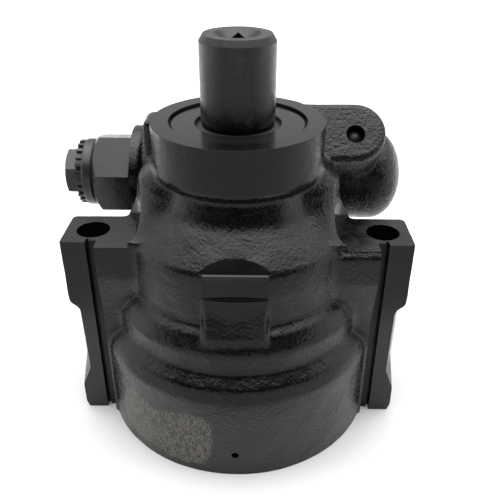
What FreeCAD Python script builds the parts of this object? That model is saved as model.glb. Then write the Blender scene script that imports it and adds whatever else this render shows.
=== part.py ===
"""Power steering pump: a vane pump in a cast-iron housing with its own flow-control valve.

Frame, in millimetres: the origin is the centre of the hub's machined top face on the shaft's
axis, +Z runs out along the shaft, +X is to the right and +Y is to the back, where the valve is.
The pump stands on its rear rim, at z = -HOUSING_HEIGHT.
"""
import FreeCAD
import Part
import math
import os

V = FreeCAD.Vector
os.makedirs("parts", exist_ok=True)

# Clearances
RUN_GAP = 0.03          # radial gap of a part that turns or slides in its bore
LIP_GAP = 0.05          # radial gap between the seal's lip and the shaft
FACE_GAP = 0.05         # gap between faces that move past each other
SEAT_GAP = 0.05         # radial gap of a plate that is slid into its bore by hand
GROOVE_GAP = 0.03       # gap between a ring and the bottom of its groove

# Shaft
SHAFT_R = 9.525         # pulley land, three quarters of an inch across
SEAL_LAND_R = 9.30      # ground land under the seal and in the bushing
SHAFT_TOP = 21.2
SHAFT_CHAMFER = 1.0
SHAFT_CHAMFER_LONG = 1.6
PULLEY_LAND_END = 0.0   # the pulley's hub stops level with the housing's
SPLINE_R = 8.4
SPLINE_ROOT_R = 7.5
SPLINE_TEETH = 12
SOCKET_ACROSS = 7.0     # square drive socket in the shaft's end
SOCKET_DEPTH = 9.0
SOCKET_MOUTH_R = 5.95
CLIP_GROOVE_DEPTH = 0.8
CLIP_THICK = 1.2

# Hub and shaft seal
HUB_R = 22.4
HUB_SIDE = 13.2         # height of the hub's turned side
SEAL_BORE_R = 17.46
SEAL_BORE_DEPTH = 9.0
SEAL_MOUTH_CHAMFER = 0.8
SEAL_RECESS = 0.7       # how far the seal's face lies below the hub's
SEAL_HEIGHT = 8.0
SEAL_SHEET = 1.0
SEAL_WEB = 1.6          # thickness of the rubber behind the case's face
SEAL_OPENING_R = 11.2
GARTER_WIRE_R = 0.55
GARTER_R = 11.6
GARTER_Z = -SEAL_RECESS - 0.675 * SEAL_HEIGHT
BUSHING_WALL = 2.3
BUSHING_TOP = -12.0
BUSHING_LENGTH = 28.0

# Housing's body, from the hub down
HOUSING_HEIGHT = 85.6
NECK_R = 19.4
NECK_TOP = 13.6
NECK_FILLET_R = 12.0    # the flared neck runs into the shoulder in one broad fillet
SHOULDER_START_R = 21.9
SHOULDER_START = 19.75  # where the neck's and the shoulder's cones would meet
WALL_1_R = 31.2
WALL_1_TOP = 28.9
WALL_1_CORNER_R = 3.5
WALL_1_END = 43.0
STEP_2_R = 33.4
STEP_2_END = 44.9
WALL_2_R = 35.4
WALL_2_TOP = 48.6
WALL_2_END = 54.0
WALL_3_R = 39.3
WALL_3_TOP = 59.7
CHEEK_TOP = 8.6         # the cheeks are the housing's bulges at the hub's two sides
CHEEK_R = 26.3
CHEEK_CORNER = 12.6
CHEEK_MIDDLE_R = 27.4
CHEEK_MIDDLE = 19.5
CHEEK_LOW_R = 28.6
CHEEK_LOW = 23.5
CHEEK_FRONT_X = 17.0    # where a cheek's front face leaves the neck
CHEEK_FRONT_Y = -12.0
CHEEK_TURN_X = 26.0     # where the front face turns towards the front
CHEEK_TURN_Y = -14.6
CHEEK_FAR_Y = -21.0

# Pump cartridge, from the chamber's floor down
CHAMBER_FLOOR = -46.5
CHAMBER_R = 30.3
COVER_BORE_R = 33.0
THRUST_PLATE_THICK = 3.5
CAM_RING_THICK = 12.0
CAM_MAJOR_R = CHAMBER_R - 5.8
CAM_MINOR_R = CAM_MAJOR_R - 2.5
CAM_POINTS = 24
ROTOR_R = CAM_MINOR_R - 0.6
VANE_COUNT = 10
KIDNEY_INNER_R = ROTOR_R - 2.2  # kidney-shaped ports beside the rotor
KIDNEY_OUTER_R = CAM_MAJOR_R - 1.1
KIDNEY_SPAN = 36.0      # in degrees
KIDNEY_CENTRES = (38.0, 128.0, 218.0, 308.0)
VANE_THICK = 1.8
VANE_TIP_R = CAM_MINOR_R - 0.1
SLOT_ROOT_R = SPLINE_R + 5.0
VANE_LENGTH = VANE_TIP_R - SLOT_ROOT_R - 1.2
SLOT_ROOT_HOLE_R = 1.4
DOWEL_R = 2.5
DOWEL_PITCH_R = CHAMBER_R - 3.3
DOWEL_SINK = 4.0        # how far a dowel reaches into the housing's floor
PRESSURE_PLATE_THICK = 6.0
PLATE_SPRING_WIRE_R = 1.1
PLATE_SPRING_R = 14.0
PLATE_SPRING_SPACE = 4.6
COVER_THICK = 4.8
COVER_DISH_R = 23.0
COVER_DISH_DEPTH = 1.2
O_RING_R = 1.15
RETAINER_WIRE_R = 1.05
RETAINER_GAP_DEG = 24.0
RETAINER_GROOVE_GAP = 0.12
PUNCH_HOLE_R = 1.0

# Ears with their bolt holes and clip rails
EAR_TOP = 28.5
EAR_HOLE_X = 38.8
EAR_HOLE_Y = -7.1
EAR_HOLE_R = 4.45
EAR_FRONT = -14.2
EAR_BACK = 0.8
EAR_OUTER_X = 46.1
EAR_BACK_CORNER_R = 2.2
EAR_ROOT_X = 20.0       # where an ear's block starts, inside the round body
EAR_WAIST_X = 43.3
EAR_WAIST_START = 45.5
EAR_WAIST_TOP = 49.4
EAR_WAIST_END = 70.4
EAR_FOOT_X = 45.8
EAR_FOOT_TOP = 77.0
EAR_FOOT_TAPER = 0.9    # draft below the foot's full width
RAIL_SLOT_INNER_X = 36.7
RAIL_SLOT_OUTER_X = 39.5
RAIL_SLOT_DEPTH = 1.1
RAIL_RELIEF_WIDTH = 0.7
RAIL_RELIEF_DEPTH = 1.0
EAR_CUT_R = 13.5        # the ears' top faces are milled with a round cutter
EAR_CUT_X = 38.6
EAR_CUT_Y = -8.6
EAR_CUT_BACK = 2.0
WEB_FRONT = -16.9
RIGHT_WEB_FRONT = -18.8
RIGHT_WEB_LEDGE = 1.5   # rough cast ledge at the right web's top
WEB_TURN = 38.0         # where a web starts to run back into the ear
WEB_END = 60.0

# Clip pad on the front
PAD_HALF_WIDTH = 7.9
PAD_MILLED_Y = -29.9
PAD_LEDGE = 0.6
PAD_LIP = 28.5
PAD_MILLED_END = 35.2
PAD_CAST_Y = -30.4
PAD_FOOT_Y = -34.0
PAD_FOOT = 46.2
PAD_NOTCH_TILT = 30.0   # tilt of the notch's face from upright, in degrees
PAD_NOTCH_RISE = 8.0
PAD_ROOT_Y = -24.0
PAD_EDGE_R = 0.9

# Valve boss, along X behind the hub
VALVE_Y = 28.0
VALVE_Z = -26.5
VALVE_BOSS_R = 13.6
VALVE_BOSS_LEFT = -35.1
VALVE_COLLAR_R = 14.5
VALVE_COLLAR_END = -30.6
VALVE_DOME_START = 40.7
VALVE_DOME_END = 49.2
VALVE_BORE_R = 8.0
VALVE_BORE_END = 37.0
VALVE_THREAD_R = 9.6
VALVE_THREAD_END = -24.0
BRIDGE_LEFT = -26.5     # the bridge joins the hub to the valve boss
BRIDGE_RIGHT = 22.0
BRIDGE_TOP = 3.0
BRIDGE_FLAT_END = 17.3  # how far back the bridge's flat top runs

# Drilled-passage lug on the right
LUG_CENTRE = V(32.0, 10.0, -7.1)
LUG_R = 7.8
LUG_RISE = 42.0         # angle of the lug face's normal above level, in degrees
LUG_LENGTH = 17.0
LUG_ROOT_X = 14.0
PASSAGE_R = 2.6
PASSAGE_LENGTH = 26.0
PASSAGE_BALL_DEPTH = 4.2

# Inlet at the back
INLET_Z = -56.0
INLET_BOSS_R = 10.5
INLET_FACE_Y = 44.0
INLET_BORE_R = 7.0
INLET_DEPTH = 9.0
FEED_Y = 34.0
FEED_R = 2.5

# Outlet fitting and its shipping plug
FITTING_ACROSS = 22.2
FITTING_HEX_LEFT = -47.1
FITTING_HEX_RIGHT = -36.0
FITTING_TURN = 15.0     # angle of a corner of the hexagon above level, in degrees
FITTING_TIP_R = 7.2
FITTING_RING_R = 0.82   # wire radius of the fitting's O-ring
THREAD_RELIEF = 0.6     # depth of the relief between the fitting's thread and hexagon
FITTING_TIP_END = -20.0
PORT_R = 7.2
PORT_END = -38.0
ORIFICE_R = 3.0
PLUG_FLANGE_R = 10.3
PLUG_FLANGE_THICK = 2.2
PLUG_TEETH_R = 9.9
PLUG_TEETH = 24
PLUG_TEETH_THICK = 1.9
PLUG_TEETH_DEPTH = 0.9
PLUG_HEX_ACROSS = 13.0
PLUG_HEX_LONG = 4.0
PLUG_HEX_TURN = 27.0
PLUG_SHANK_R = 7.0
PLUG_SHANK_LONG = 8.0

# Flow-control spool and its relief valve
SPOOL_LENGTH = 24.0
SPOOL_GROOVE_R = 6.2
SPOOL_BORE_R = 4.2
SPOOL_BORE_LONG = 19.0
SPOOL_STEM_R = 3.2
SPOOL_STEM_LONG = 3.0
OIL_GROOVES = (2.0, 4.0, 15.5, 18.0, 20.5)  # from the spool's left end
OIL_GROOVE_DEPTH = 0.4
OIL_GROOVE_WIDTH = 0.8
WIRE_SIDES = 8          # the springs' wire is an eight-sided bar
FLOW_SPRING_WIRE_R = 0.8
FLOW_SPRING_R = 5.6
FLOW_SPRING_TURNS = 6
RELIEF_SEAT_LONG = 6.0
RELIEF_SEAT_HOLE_R = 1.3
RELIEF_BALL_R = 2.4
RELIEF_GUIDE_R = 3.6
RELIEF_GUIDE_LONG = 3.0
RELIEF_GUIDE_SET = 0.9  # how far behind the ball's centre the guide starts
RELIEF_STEM_R = 1.7
RELIEF_WIRE_R = 0.4
RELIEF_SPRING_R = 2.7
RELIEF_SPRING_TURNS = 4

# Places that follow from the sizes above
CAM_TOP = CHAMBER_FLOOR - THRUST_PLATE_THICK
CAM_BOTTOM = CAM_TOP - CAM_RING_THICK
PLATE_BOTTOM = CAM_BOTTOM - PRESSURE_PLATE_THICK
COVER_TOP = PLATE_BOTTOM - PLATE_SPRING_SPACE
COVER_BOTTOM = COVER_TOP - COVER_THICK
RETAINER_Z = COVER_BOTTOM - RETAINER_WIRE_R
RETAINER_GROOVE_R = COVER_BORE_R + RETAINER_WIRE_R + 0.2
PLATE_R = CHAMBER_R - SEAT_GAP
COVER_R = COVER_BORE_R - SEAT_GAP
BUSHING_R = SEAL_LAND_R + RUN_GAP + BUSHING_WALL
SHAFT_STEP_Z = CHAMBER_FLOOR + 2.0
SPLINE_END_Z = CAM_BOTTOM - 1.5
SHAFT_END_Z = SPLINE_END_Z - 1.5
SPOOL_LEFT = FITTING_TIP_END + FACE_GAP
SPOOL_RIGHT = SPOOL_LEFT + SPOOL_LENGTH
EAR_RELIEF = V(EAR_OUTER_X - EAR_WAIST_X + 0.2, EAR_HOLE_Y - EAR_FRONT + 1.0, 0)
LUG_OUT = V(0, -math.cos(math.radians(LUG_RISE)), math.sin(math.radians(LUG_RISE)))
LUG_UP = V(0, math.sin(math.radians(LUG_RISE)), math.cos(math.radians(LUG_RISE)))
X_AXIS = V(1, 0, 0)
Z_AXIS = V(0, 0, 1)
VALVE_CENTRE = V(0, VALVE_Y, VALVE_Z)


def rounded_face(corners, place):
    """Face inside the closed outline (u, v, radius); place turns u and v into a point.

    A negative radius is a chamfer of that size.
    """
    count = len(corners)
    arcs = []
    for i, (u, v, radius) in enumerate(corners):
        here = V(u, v, 0)
        before = V(*corners[i - 1][:2], 0) - here
        after = V(*corners[(i + 1) % count][:2], 0) - here
        before.normalize()
        after.normalize()
        if radius == 0:
            arcs.append((here, None, here))
            continue
        half = before.getAngle(after) / 2
        if radius < 0:
            arcs.append((here - before * radius, None, here - after * radius))
            continue
        middle = before + after
        middle.normalize()
        run = radius / math.tan(half)
        crown = here + middle * (radius / math.sin(half) - radius)
        arcs.append((here + before * run, crown, here + after * run))
    edges = []
    for i, (start, crown, end) in enumerate(arcs):
        if crown is not None:
            points = [place(p.x, p.y) for p in (start, crown, end)]
            edges.append(Part.Arc(*points).toShape())
        elif (end - start).Length > 1e-6:
            edges.append(Part.makeLine(place(start.x, start.y), place(end.x, end.y)))
        following = arcs[(i + 1) % count][0]
        if (following - end).Length > 1e-6:
            edges.append(Part.makeLine(place(end.x, end.y), place(following.x, following.y)))
    return Part.Face(Part.Wire(edges))


def turned(corners):
    """Body of revolution about Z from an outline of (radius, z, corner radius)."""
    face = rounded_face(corners, lambda u, v: V(u, 0, v))
    return face.revolve(V(0, 0, 0), Z_AXIS, 360)


def turned_x(corners):
    """Body of revolution about the valve's axis from an outline of (x, radius, corner radius)."""
    face = rounded_face(corners, lambda u, v: V(u, VALVE_Y, VALVE_Z + v))
    return face.revolve(VALVE_CENTRE, X_AXIS, 360)


def ring(inner, outer, bottom, top):
    """Plain ring about Z."""
    return turned([(inner, bottom, 0), (outer, bottom, 0), (outer, top, 0), (inner, top, 0)])


def rod(radius, bottom, top, x=0.0, y=0.0):
    """Upright cylinder between two heights."""
    return Part.makeCylinder(radius, top - bottom, V(x, y, bottom), Z_AXIS)


def valve_rod(radius, left, right):
    """Cylinder on the valve's axis between two x."""
    return Part.makeCylinder(radius, right - left, V(left, VALVE_Y, VALVE_Z), X_AXIS)


def box(low, high):
    """Box between two corners."""
    size = high - low
    return Part.makeBox(size.x, size.y, size.z, low)


def mirrored(shape):
    """The same shape on the other side of the YZ plane."""
    return shape.mirror(V(0, 0, 0), X_AXIS)


def valve_hexagon(across, left, right, turn_deg):
    """Hexagonal bar on the valve's axis, with one corner turn_deg above the front."""
    corner_r = across / math.sqrt(3)
    points = []
    for i in range(7):
        angle = math.radians(turn_deg + 60 * i)
        points.append(V(left, VALVE_Y - corner_r * math.cos(angle), VALVE_Z + corner_r * math.sin(angle)))
    return Part.Face(Part.makePolygon(points)).extrude(V(right - left, 0, 0))


def chamfered_hexagon(across, left, right, turn_deg, chamfer):
    """Hexagonal bar whose left corners are turned off to a cone."""
    corner_r = across / math.sqrt(3)
    cone = turned_x([
        (left, 0, 0), (left, across / 2 - 0.2, 0), (left + chamfer, corner_r + 0.01, 0),
        (right, corner_r + 0.01, 0), (right, 0, 0),
    ])
    return valve_hexagon(across, left, right, turn_deg).common(cone)


def coil(radius, wire_r, length, turns, start, axis):
    """Helical spring that lies from start along axis over the given length."""
    rise = length - 2 * wire_r
    helix = Part.makeHelix(rise / turns, rise, radius)
    corners = []
    for i in range(WIRE_SIDES + 1):
        angle = 2 * math.pi * i / WIRE_SIDES
        corners.append(V(radius + wire_r * math.cos(angle), 0, wire_r * math.sin(angle)))
    spring = Part.Wire(helix.Edges).makePipeShell([Part.makePolygon(corners)], True, True)
    spring.translate(V(0, 0, wire_r))
    spring.Placement = FreeCAD.Placement(start, FreeCAD.Rotation(Z_AXIS, axis)).multiply(spring.Placement)
    return spring


def cam_radius(angle_deg):
    """Radius of the cam ring's track at an angle about the shaft."""
    middle = (CAM_MAJOR_R + CAM_MINOR_R) / 2
    return middle - (CAM_MAJOR_R - CAM_MINOR_R) / 2 * math.cos(math.radians(2 * angle_deg))


def housing_body():
    """Turned form of the housing: hub, neck, shoulder and stepped walls."""
    return turned([
        (0, 0, 0), (HUB_R, 0, -0.3), (HUB_R, -HUB_SIDE, 0), (NECK_R, -NECK_TOP, 0.4),
        (SHOULDER_START_R, -SHOULDER_START, NECK_FILLET_R), (WALL_1_R, -WALL_1_TOP, WALL_1_CORNER_R),
        (WALL_1_R, -WALL_1_END, 1.5), (STEP_2_R, -STEP_2_END, 1.2), (WALL_2_R, -WALL_2_TOP, 2.0),
        (WALL_2_R, -WALL_2_END, 2.5), (WALL_3_R, -WALL_3_TOP, 3.0),
        (WALL_3_R, -HOUSING_HEIGHT, -0.5), (0, -HOUSING_HEIGHT, 0),
    ])


def cheeks():
    """Bulges at the hub's sides and back, cut away in front of the neck."""
    full = turned([
        (0, -CHEEK_TOP, 0), (HUB_R - 0.3, -CHEEK_TOP, 0), (CHEEK_R, -CHEEK_CORNER, 3.5),
        (CHEEK_MIDDLE_R, -CHEEK_MIDDLE, 6.0), (CHEEK_LOW_R, -CHEEK_LOW, 3.0),
        (WALL_1_R - 0.02, -WALL_1_TOP, 2.5), (WALL_1_R - 0.02, -WALL_1_TOP - 5.0, 0),
        (0, -WALL_1_TOP - 5.0, 0),
    ])
    far = WALL_3_R + 5
    front = rounded_face([
        (-CHEEK_FRONT_X, CHEEK_FRONT_Y, 2.5), (CHEEK_FRONT_X, CHEEK_FRONT_Y, 2.5),
        (CHEEK_TURN_X, CHEEK_TURN_Y, 6.0), (far, CHEEK_FAR_Y, 0), (far, -far, 0),
        (-far, -far, 0), (-far, CHEEK_FAR_Y, 0), (-CHEEK_TURN_X, CHEEK_TURN_Y, 6.0),
    ], lambda u, v: V(u, v, 0))
    return full.cut(front.extrude(V(0, 0, -HOUSING_HEIGHT)))


def ear():
    """Right ear, without its holes and slots; its front corner is relieved between top and foot."""
    solid = box(V(EAR_ROOT_X, EAR_FRONT, -HOUSING_HEIGHT), V(EAR_OUTER_X, EAR_BACK, -EAR_TOP))
    outer = EAR_OUTER_X + 10.0
    drafted = EAR_FOOT_X - EAR_FOOT_TAPER
    waist = rounded_face([
        (outer, -EAR_WAIST_START, 0), (EAR_OUTER_X, -EAR_WAIST_START, 0),
        (EAR_OUTER_X, -EAR_WAIST_START - 1.7, 2.0), (EAR_WAIST_X, -EAR_WAIST_TOP, 2.4),
        (EAR_WAIST_X - 0.2, -EAR_WAIST_END, 3.5), (EAR_FOOT_X, -EAR_FOOT_TOP, 3.0),
        (EAR_FOOT_X, -HOUSING_HEIGHT + 2.2, 1.5), (drafted, -HOUSING_HEIGHT, 0),
        (drafted, -HOUSING_HEIGHT - 1, 0), (outer, -HOUSING_HEIGHT - 1, 0),
    ], lambda u, v: V(u, EAR_FRONT, v))
    back_corner = rounded_face([
        (EAR_ROOT_X, EAR_FRONT - 1, 0), (EAR_OUTER_X, EAR_FRONT - 1, 0),
        (EAR_OUTER_X, EAR_BACK, EAR_BACK_CORNER_R), (EAR_ROOT_X, EAR_BACK, 0),
    ], lambda u, v: V(u, v, -EAR_TOP))
    solid = solid.common(back_corner.extrude(V(0, 0, EAR_TOP - HOUSING_HEIGHT)))
    return solid.cut(waist.extrude(EAR_RELIEF))


def ear_web(front, ledge):
    """Right web between the housing's wall and the clip rail; ledge is its rough cast top."""
    corners = [
        (EAR_FRONT + 4.0, -EAR_TOP, 0), (front + ledge, -EAR_TOP, 0), (front, -EAR_TOP - ledge, 0),
        (front, -WEB_TURN, 8.0), (EAR_FRONT + 0.9, -WEB_END, 0), (EAR_FRONT + 4.0, -WEB_END, 0),
    ]
    if ledge == 0:
        del corners[2]
    face = rounded_face(corners, lambda u, v: V(EAR_ROOT_X, u, v))
    return face.extrude(V(RAIL_SLOT_INNER_X - EAR_ROOT_X, 0, 0))


def ear_cuts():
    """Cutters of the right ear: milled top, bolt hole, rail slot and its corner relief."""
    upper = -CHEEK_TOP + 4.0
    top = rod(EAR_CUT_R, -EAR_TOP, upper, EAR_CUT_X, EAR_CUT_Y)
    outside = box(V(EAR_CUT_X, -WALL_3_R, -EAR_TOP), V(EAR_OUTER_X + 5.0, EAR_CUT_BACK, upper))
    hole = rod(EAR_HOLE_R, -HOUSING_HEIGHT - 1, -EAR_TOP + 1, EAR_HOLE_X, EAR_HOLE_Y)
    floor = EAR_FRONT + RAIL_SLOT_DEPTH
    slot = box(
        V(RAIL_SLOT_INNER_X, -WALL_3_R, -HOUSING_HEIGHT - 1), V(RAIL_SLOT_OUTER_X, floor, -EAR_TOP + 1)
    )
    relief = box(
        V(RAIL_SLOT_OUTER_X - RAIL_RELIEF_WIDTH, floor - 0.1, -HOUSING_HEIGHT - 1),
        V(RAIL_SLOT_OUTER_X, floor + RAIL_RELIEF_DEPTH, -EAR_TOP + 1),
    )
    return [top, outside, hole, slot, relief]


def clip_pad():
    """Cast pad on the front that a spring clip of the reservoir bears on."""
    profile = rounded_face([
        (PAD_ROOT_Y, -PAD_MILLED_END + 2.0, 0), (PAD_CAST_Y, -PAD_MILLED_END + 2.0, 0),
        (PAD_FOOT_Y, -PAD_FOOT + 1.5, 1.2), (PAD_FOOT_Y + 2.0, -PAD_FOOT - 1.0, 0),
        (PAD_ROOT_Y, -PAD_FOOT - 1.0, 0),
    ], lambda u, v: V(-PAD_HALF_WIDTH, u, v))
    pad = profile.extrude(V(2 * PAD_HALF_WIDTH, 0, 0))
    face_edges = [
        edge for edge in pad.Edges
        if abs(abs(edge.CenterOfMass.x) - PAD_HALF_WIDTH) < 0.01
        and edge.CenterOfMass.y < PAD_CAST_Y - 0.2
    ]
    return pad.makeFillet(PAD_EDGE_R, face_edges)


def clip_pad_cuts():
    """Cutters of the pad: its milled upper face and the notch that the clip hooks into."""
    face = box(V(-14.0, -45.0, -PAD_MILLED_END), V(14.0, PAD_MILLED_Y, -PAD_LIP))
    lip_y = PAD_MILLED_Y + PAD_LEDGE
    top_y = lip_y + PAD_NOTCH_RISE * math.tan(math.radians(PAD_NOTCH_TILT))
    notch_top = -PAD_LIP + PAD_NOTCH_RISE
    notch = rounded_face([
        (lip_y, -PAD_LIP, 0), (top_y, notch_top, 0), (-45.0, notch_top, 0), (-45.0, -PAD_LIP, 0),
    ], lambda u, v: V(-13.0, u, v)).extrude(V(26.0, 0, 0))
    return [face, notch]


def valve_boss():
    """Round boss of the valve's bore, domed at its closed right end."""
    dome = VALVE_DOME_END - VALVE_DOME_START
    boss = valve_rod(VALVE_BOSS_R, VALVE_BOSS_LEFT, VALVE_DOME_START)
    collar = turned_x([
        (VALVE_BOSS_LEFT, 0, 0), (VALVE_BOSS_LEFT, VALVE_COLLAR_R, -0.6),
        (VALVE_COLLAR_END, VALVE_COLLAR_R, -0.6), (VALVE_COLLAR_END, 0, 0),
    ])
    cap = Part.makeSphere(VALVE_BOSS_R, V(0, 0, 0), X_AXIS, 0, 90, 360)
    squash = FreeCAD.Matrix()
    squash.scale(dome / VALVE_BOSS_R, 1, 1)
    cap = cap.transformGeometry(squash)
    cap.translate(V(VALVE_DOME_START, VALVE_Y, VALVE_Z))
    return boss.fuse([collar, cap])


def bridge():
    """Web of the casting from the hub and body back to the valve boss."""
    profile = rounded_face([
        (4.0, -BRIDGE_TOP, 0), (BRIDGE_FLAT_END, -BRIDGE_TOP, 3.0),
        (VALVE_Y + 3.0, VALVE_Z + VALVE_BOSS_R - 0.5, 5.0),
        (VALVE_Y + 9.0, VALVE_Z - 9.0, 0), (VALVE_Y + 6.0, INLET_Z, 0), (4.0, INLET_Z, 0),
    ], lambda u, v: V(BRIDGE_LEFT, u, v))
    solid = profile.extrude(V(BRIDGE_RIGHT - BRIDGE_LEFT, 0, 0))
    upper = rounded_face([
        (BRIDGE_LEFT, -BRIDGE_TOP, 2.6), (BRIDGE_RIGHT, -BRIDGE_TOP, 2.6),
        (BRIDGE_RIGHT, VALVE_Z - 4.0, 6.0), (11.0, INLET_Z, 0), (-11.0, INLET_Z, 0),
        (BRIDGE_LEFT, VALVE_Z - 4.0, 6.0),
    ], lambda u, v: V(u, 0, v))
    return solid.common(upper.extrude(V(0, 60, 0)))


def lug():
    """Slanted lug of the drilled passage, run into the hub's side."""
    back = LUG_OUT * -LUG_LENGTH
    round_end = Part.makeCylinder(LUG_R, LUG_LENGTH, LUG_CENTRE, LUG_OUT * -1)
    root = V(LUG_ROOT_X, LUG_CENTRE.y, LUG_CENTRE.z)
    corners = [root - LUG_UP * LUG_R, LUG_CENTRE - LUG_UP * LUG_R, LUG_CENTRE + LUG_UP * LUG_R]
    corners += [root + LUG_UP * LUG_R, root - LUG_UP * LUG_R]
    slab = Part.Face(Part.makePolygon(corners)).extrude(back)
    return round_end.fuse(slab)


def passage():
    """Drilled passage from the lug's face to the valve's bore."""
    start = LUG_CENTRE + LUG_OUT
    return Part.makeCylinder(PASSAGE_R, PASSAGE_LENGTH, start, LUG_OUT * -1)


def housing_bores():
    """Everything that is machined out of the housing, apart from its ears and pad."""
    deep = 1.0
    shaft_side = turned([
        (0, deep, 0), (SEAL_BORE_R + SEAL_MOUTH_CHAMFER + deep, deep, 0),
        (SEAL_BORE_R, -SEAL_MOUTH_CHAMFER, 0), (SEAL_BORE_R, -SEAL_BORE_DEPTH, 0),
        (SEAL_LAND_R + 1.0, -SEAL_BORE_DEPTH, 0), (SEAL_LAND_R + 1.0, BUSHING_TOP, 0),
        (BUSHING_R, BUSHING_TOP, 0), (BUSHING_R, CHAMBER_FLOOR, 0), (CHAMBER_R, CHAMBER_FLOOR, 0),
        (CHAMBER_R, CAM_BOTTOM, 0), (COVER_BORE_R, CAM_BOTTOM, 0),
        (COVER_BORE_R, -HOUSING_HEIGHT + 1.2, 0), (COVER_BORE_R + 1.2, -HOUSING_HEIGHT, 0),
        (COVER_BORE_R + 1.2, -HOUSING_HEIGHT - deep, 0), (0, -HOUSING_HEIGHT - deep, 0),
    ])
    groove_half = RETAINER_WIRE_R + RETAINER_GROOVE_GAP
    groove = ring(COVER_BORE_R - 1, RETAINER_GROOVE_R, RETAINER_Z - groove_half, RETAINER_Z + groove_half)
    punch_hole = Part.makeCylinder(
        PUNCH_HOLE_R, WALL_3_R - COVER_BORE_R + 3, V(0, -COVER_BORE_R + 1, RETAINER_Z), V(0, -1, 0)
    )
    valve = turned_x([
        (VALVE_BOSS_LEFT - deep, 0, 0), (VALVE_BOSS_LEFT - deep, VALVE_THREAD_R + 2.4, 0),
        (VALVE_BOSS_LEFT, VALVE_THREAD_R + 1.4, 0), (VALVE_BOSS_LEFT + 1.6, VALVE_THREAD_R, 0),
        (VALVE_THREAD_END, VALVE_THREAD_R, 0), (VALVE_THREAD_END, VALVE_BORE_R, 0),
        (VALVE_BORE_END, VALVE_BORE_R, 0), (VALVE_BORE_END + 4.0, 0, 0),
    ])
    inlet = Part.makeCylinder(INLET_BORE_R, INLET_DEPTH + 1, V(0, INLET_FACE_Y + 1, INLET_Z), V(0, -1, 0))
    feed = rod(FEED_R, INLET_Z, VALVE_Z, 0, FEED_Y)
    dowel_holes = [
        rod(DOWEL_R + 0.01, CHAMBER_FLOOR - 0.5, CHAMBER_FLOOR + DOWEL_SINK + 0.5, x, 0)
        for x in (-DOWEL_PITCH_R, DOWEL_PITCH_R)
    ]
    return [shaft_side, groove, punch_hole, valve, inlet, feed, passage()] + dowel_holes


def pump_housing():
    """Cast-iron housing."""
    inlet_boss = Part.makeCylinder(INLET_BOSS_R, 20.0, V(0, INLET_FACE_Y, INLET_Z), V(0, -1, 0))
    left_web = mirrored(ear_web(WEB_FRONT, 0))
    right_web = ear_web(RIGHT_WEB_FRONT, RIGHT_WEB_LEDGE)
    body = housing_body().fuse([
        cheeks(), bridge(), valve_boss(), inlet_boss, lug(), ear(), mirrored(ear()), left_web, right_web,
    ])
    cuts = ear_cuts()
    cuts += [mirrored(cutter) for cutter in ear_cuts()]
    body = body.cut(clip_pad_cuts()).fuse(clip_pad()).cut(clip_pad_cuts()[0])
    return body.cut(cuts + housing_bores()).removeSplitter()


def spline_outline(root_r, tip_r, height, bottom):
    """Star-shaped bar of straight-sided splines."""
    points = []
    for i in range(SPLINE_TEETH):
        for share, radius in ((0.06, root_r), (0.22, tip_r), (0.72, tip_r), (0.88, root_r)):
            angle = 2 * math.pi * (i + share) / SPLINE_TEETH
            points.append(V(radius * math.cos(angle), radius * math.sin(angle), bottom))
    points.append(points[0])
    return Part.Face(Part.makePolygon(points)).extrude(V(0, 0, height))


def drive_shaft():
    """Shaft with its chamfered end, square socket, splines and clip groove."""
    shaft = turned([
        (0, SHAFT_TOP, 0), (SHAFT_R - SHAFT_CHAMFER, SHAFT_TOP, 0),
        (SHAFT_R, SHAFT_TOP - SHAFT_CHAMFER_LONG, 0),
        (SHAFT_R, PULLEY_LAND_END, 0), (SEAL_LAND_R, PULLEY_LAND_END - 0.2, 0),
        (SEAL_LAND_R, SHAFT_STEP_Z, -0.4), (SPLINE_ROOT_R, SHAFT_STEP_Z, 0),
        (SPLINE_ROOT_R, SHAFT_END_Z, -0.5), (0, SHAFT_END_Z, 0),
    ])
    splines = spline_outline(
        SPLINE_ROOT_R - 0.2, SPLINE_R, SHAFT_STEP_Z - CAM_BOTTOM, CAM_BOTTOM
    )
    half = SOCKET_ACROSS / math.sqrt(2)
    corners = [V(half, 0, 0), V(0, half, 0), V(-half, 0, 0), V(0, -half, 0), V(half, 0, 0)]
    socket = Part.Face(Part.makePolygon(corners)).extrude(V(0, 0, SOCKET_DEPTH))
    socket.translate(V(0, 0, SHAFT_TOP - SOCKET_DEPTH))
    depth = SOCKET_MOUTH_R * 0.75
    mouth = Part.makeCone(0, SOCKET_MOUTH_R, depth, V(0, 0, SHAFT_TOP - depth), Z_AXIS)
    clip_groove = ring(
        SPLINE_ROOT_R - CLIP_GROOVE_DEPTH, SPLINE_R + 1, SPLINE_END_Z + 0.2, SPLINE_END_Z + 0.2 + CLIP_THICK
    )
    return shaft.fuse(splines).cut([socket, mouth, clip_groove]).removeSplitter()


def shaft_seal_case():
    """Pressed steel case of the shaft seal."""
    top = -SEAL_RECESS
    bottom = top - SEAL_HEIGHT
    return turned([
        (SEAL_OPENING_R, top, 0), (SEAL_BORE_R, top, -0.4), (SEAL_BORE_R, bottom, 0),
        (SEAL_BORE_R - SEAL_SHEET, bottom, 0), (SEAL_BORE_R - SEAL_SHEET, top - SEAL_SHEET, 0),
        (SEAL_OPENING_R, top - SEAL_SHEET, 0),
    ])


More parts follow.
